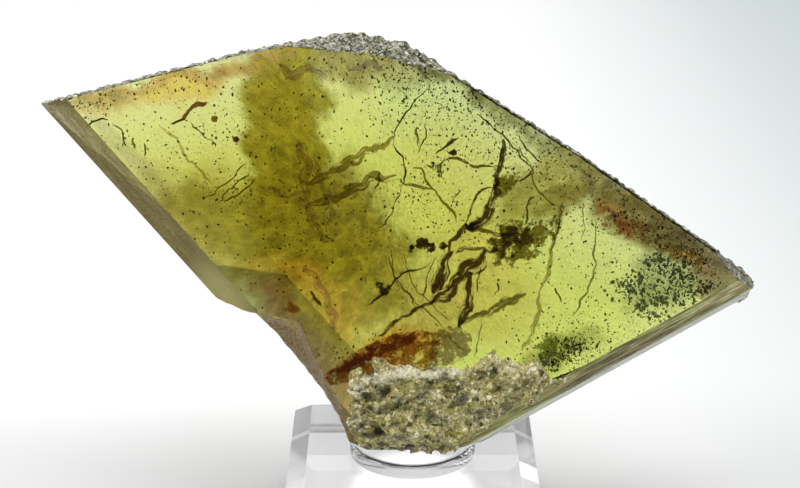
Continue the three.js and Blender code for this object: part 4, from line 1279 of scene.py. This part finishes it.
def white_paper():
    """Matt white paper, painted with light falloff to a cool grey on the right and a faint shadow near the
    front.
    """
    material, tree = new_material("white_paper")
    place = add(tree, "ShaderNodeTexCoord").outputs["Object"]
    across, forward, _ = add(tree, "ShaderNodeSeparateXYZ", {0: place}).outputs
    # Painted light falloff: the paper turns greyer towards the right.
    share = add(tree, "ShaderNodeMapRange", {
        "Value": across, "From Min": PAPER_FALLOFF_X[0] * MM, "From Max": PAPER_FALLOFF_X[1] * MM,
        "To Min": 0.0, "To Max": 1.0,
    }, interpolation_type="SMOOTHSTEP").outputs[0]
    colour = add(tree, "ShaderNodeMix", {
        0: share, 6: PAPER_LEFT, 7: PAPER_RIGHT_PAINTED_FALLOFF,
    }, data_type="RGBA").outputs[2]
    # Painted shadow: the paper is a little darker near the front.
    near = add(tree, "ShaderNodeMapRange", {
        "Value": forward, "From Min": PAPER_SHADOW_Y[0] * MM, "From Max": PAPER_SHADOW_Y[1] * MM,
        "To Min": PAPER_NEAR_PAINTED_SHADOW, "To Max": 1.0,
    }, interpolation_type="SMOOTHSTEP").outputs[0]
    colour = add(tree, "ShaderNodeVectorMath", {0: colour, "Scale": near}, operation="SCALE").outputs[0]
    shader = add(tree, "ShaderNodeBsdfPrincipled", {
        "Base Color": colour, "Roughness": 0.9, "Specular IOR Level": 0.2,
    })
    add(tree, "ShaderNodeOutputMaterial", {"Surface": shader.outputs[0]})
    return material


def middle_and_reach(node):
    """The middle of a CAD node and the lowest and highest corner of its box."""
    corners = [node.matrix_world @ Vector(c) for c in node.bound_box]
    low = Vector([min(c[axis] for c in corners) for axis in range(3)])
    high = Vector([max(c[axis] for c in corners) for axis in range(3)])
    return (low + high) / 2, low, high


def light_pad():
    """A small light pad just under the stand, which keeps the clear plastic from looking grey."""
    middle = middle_and_reach(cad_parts["support_pad"])[0]
    material, tree = new_material("light_pad")
    place = add(tree, "ShaderNodeTexCoord").outputs["Object"]
    away = add(tree, "ShaderNodeVectorMath", {
        0: place, 1: (middle.x, middle.y, 0),
    }, operation="DISTANCE").outputs["Value"]
    strength = add(tree, "ShaderNodeMapRange", {
        "Value": away, "From Min": FOOT_REACH[0] * MM, "From Max": FOOT_REACH[1] * MM,
        "To Min": FOOT_GLOW, "To Max": PAD_GLOW,
    }, interpolation_type="SMOOTHSTEP").outputs[0]
    glow = add(tree, "ShaderNodeEmission", {"Color": (1, 1, 1, 1), "Strength": strength})
    add(tree, "ShaderNodeOutputMaterial", {"Surface": glow.outputs[0]})
    _, low, high = middle_and_reach(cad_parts["acrylic_base"])
    low = low / MM + Vector((LIGHT_PAD_INSET, LIGHT_PAD_INSET, 0))
    high = high / MM - Vector((LIGHT_PAD_INSET, LIGHT_PAD_INSET, 0))
    corners = [(low.x, low.y), (high.x, low.y), (high.x, high.y), (low.x, high.y)]
    return flat_sheet("light_pad", corners, LIGHT_PAD_LEVEL, material)


def softbox(name, place, aim, size, power):
    light = bpy.data.lights.new(name, "AREA")
    light.shape = "RECTANGLE"
    light.size, light.size_y = size
    light.energy = power
    lamp = bpy.data.objects.new(name, light)
    lamp.location = place
    lamp.rotation_euler = (Vector(aim) - Vector(place)).to_track_quat("-Z", "Y").to_euler()
    bpy.context.scene.collection.objects.link(lamp)


def lit_room():
    """A room that is bright behind, dark in front, and dimmer overhead and to the right."""
    world = bpy.data.worlds.new("room")
    world.use_nodes = True
    tree = world.node_tree
    tree.nodes.clear()
    towards = add(tree, "ShaderNodeTexCoord").outputs["Generated"]
    right, back, up = add(tree, "ShaderNodeSeparateXYZ", {0: towards}).outputs
    height = add(tree, "ShaderNodeMapRange", {
        "Value": up, "From Min": 0.3, "From Max": 0.75, "To Min": 1.04, "To Max": 0.38,
    }).outputs[0]
    front = add(tree, "ShaderNodeMapRange", {
        "Value": back, "From Min": -0.75, "From Max": -0.15, "To Min": 0.02, "To Max": 1.0,
    }, interpolation_type="SMOOTHSTEP").outputs[0]
    side = add(tree, "ShaderNodeMapRange", {
        "Value": right, "From Min": 0.0, "From Max": 0.8, "To Min": 1.0, "To Max": 0.72,
    }, interpolation_type="SMOOTHSTEP").outputs[0]
    level = add(tree, "ShaderNodeMath", {0: height, 1: front}, operation="MULTIPLY").outputs[0]
    level = add(tree, "ShaderNodeMath", {0: level, 1: side}, operation="MULTIPLY").outputs[0]
    seen = add(tree, "ShaderNodeLightPath").outputs["Is Camera Ray"]
    level = add(tree, "ShaderNodeMix", {0: seen, 2: level, 3: BACKDROP_LEVEL}, data_type="FLOAT").outputs[0]
    background = add(tree, "ShaderNodeBackground", {"Color": (1, 1, 1, 1), "Strength": level})
    add(tree, "ShaderNodeOutputWorld", {"Surface": background.outputs[0]})
    bpy.context.scene.world = world


def studio():
    """White paper under a soft overhead light, in a room that is bright behind and dark in front."""
    flat_sheet("paper", PAPER_CORNERS, PAPER_LEVEL, white_paper())
    light_pad()
    for lamp in SOFTBOXES:
        softbox(*lamp)
    lit_room()
    bpy.context.scene.view_settings.view_transform = "Standard"
    bpy.context.scene.cycles.transparent_max_bounces = TRANSPARENT_LAYERS


# The camera looks down on the stand from the front; its place is in metres.
CAMERA_PLACE = (-0.00102, -0.12325, 0.07595)
CAMERA_TILT = math.radians(21.9)
CAMERA_LENS = 76.95
NEAREST_SEEN = 0.01


def camera():
    data = bpy.data.cameras.new("camera")
    data.lens = CAMERA_LENS
    data.sensor_width = 36
    data.clip_start = NEAREST_SEEN
    eye = bpy.data.objects.new("camera", data)
    eye.location = CAMERA_PLACE
    eye.rotation_euler = (math.pi / 2 - CAMERA_TILT, 0, 0)
    bpy.context.scene.collection.objects.link(eye)
    bpy.context.scene.camera = eye


# ---------------------------------------------------------------- the specimen and its stand

camera()
studio()

coarse = coarse_crystal()
inside_of_crystal = BVHTree.FromBMesh(coarse)
crystal, film = crystal_and_film(coarse)
finish_piece(mesh_object("crystal", crystal, titanite()), "titanite", "titanite_crystal")
finish_piece(mesh_object("brown_film", film, side_film_material()), "titanite")

films = Films()
for crack in CRACKS:
    films.ribbon(*crack)
for flake in FLAKES:
    films.flake(*flake)
for bleb in BLEBS:
    films.bleb(*bleb)
finish_piece(mesh_object("healed_cracks", films.mesh("healed_cracks"), film_material()), "titanite")

grains = scatter_tree()
specks = mesh_object("dark_specks", inner_sheet("dark_specks", SPECKS, 0.8, (0, 1)))
with_nodes_applied(specks, grains, {
    "Density": 12e6, "Seed": 4, "Smallest": 0.03 * MM, "Largest": 0.14 * MM, "Flatness": 0.35,
    "Into": INTO_CRYSTAL, "Material": grain_material("dark_iron_specks", IRON_TONES, 0.5, 1.6),
})
finish_piece(specks, "titanite")
chlorite = mesh_object("chlorite_clusters", inner_sheet("chlorite_clusters", CHLORITE, 0.25, (0.1, 0.6)))
with_nodes_applied(chlorite, grains, {
    "Density": 46e6, "Seed": 9, "Smallest": 0.05 * MM, "Largest": 0.26 * MM, "Flatness": 0.3,
    "Into": INTO_CRYSTAL, "Material": grain_material("chlorite_platelets", CHLORITE_TONES, 0.4, 1.6),
})
finish_piece(chlorite, "titanite")

rock = rock_material()
crust = mesh_object("crust_core", crust_mesh(), rock)
grit = mesh_object("crust_grains", crust.data.copy())
with_nodes_applied(grit, grains, {
    "Density": 12e6, "Seed": 2, "Smallest": 0.06 * MM, "Largest": 0.24 * MM, "Flatness": 0.7,
    "Into": INTO_CRYSTAL, "Material": rock,
})
finish_piece(crust, "matrix_rock", "matrix_crust")
finish_piece(grit, "matrix_rock")

for name, material in [
    ("acrylic_base", clear_plastic("cast_acrylic_block", ACRYLIC_IOR, 0.01, "#FCFDFD", 0.84)),
    ("support_pad", clear_plastic("clear_silicone_pad", SILICONE_IOR, 0.04, "#FEFEFE", 0.98)),
]:
    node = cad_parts[name]
    node.data.materials.clear()
    node.data.materials.append(material)
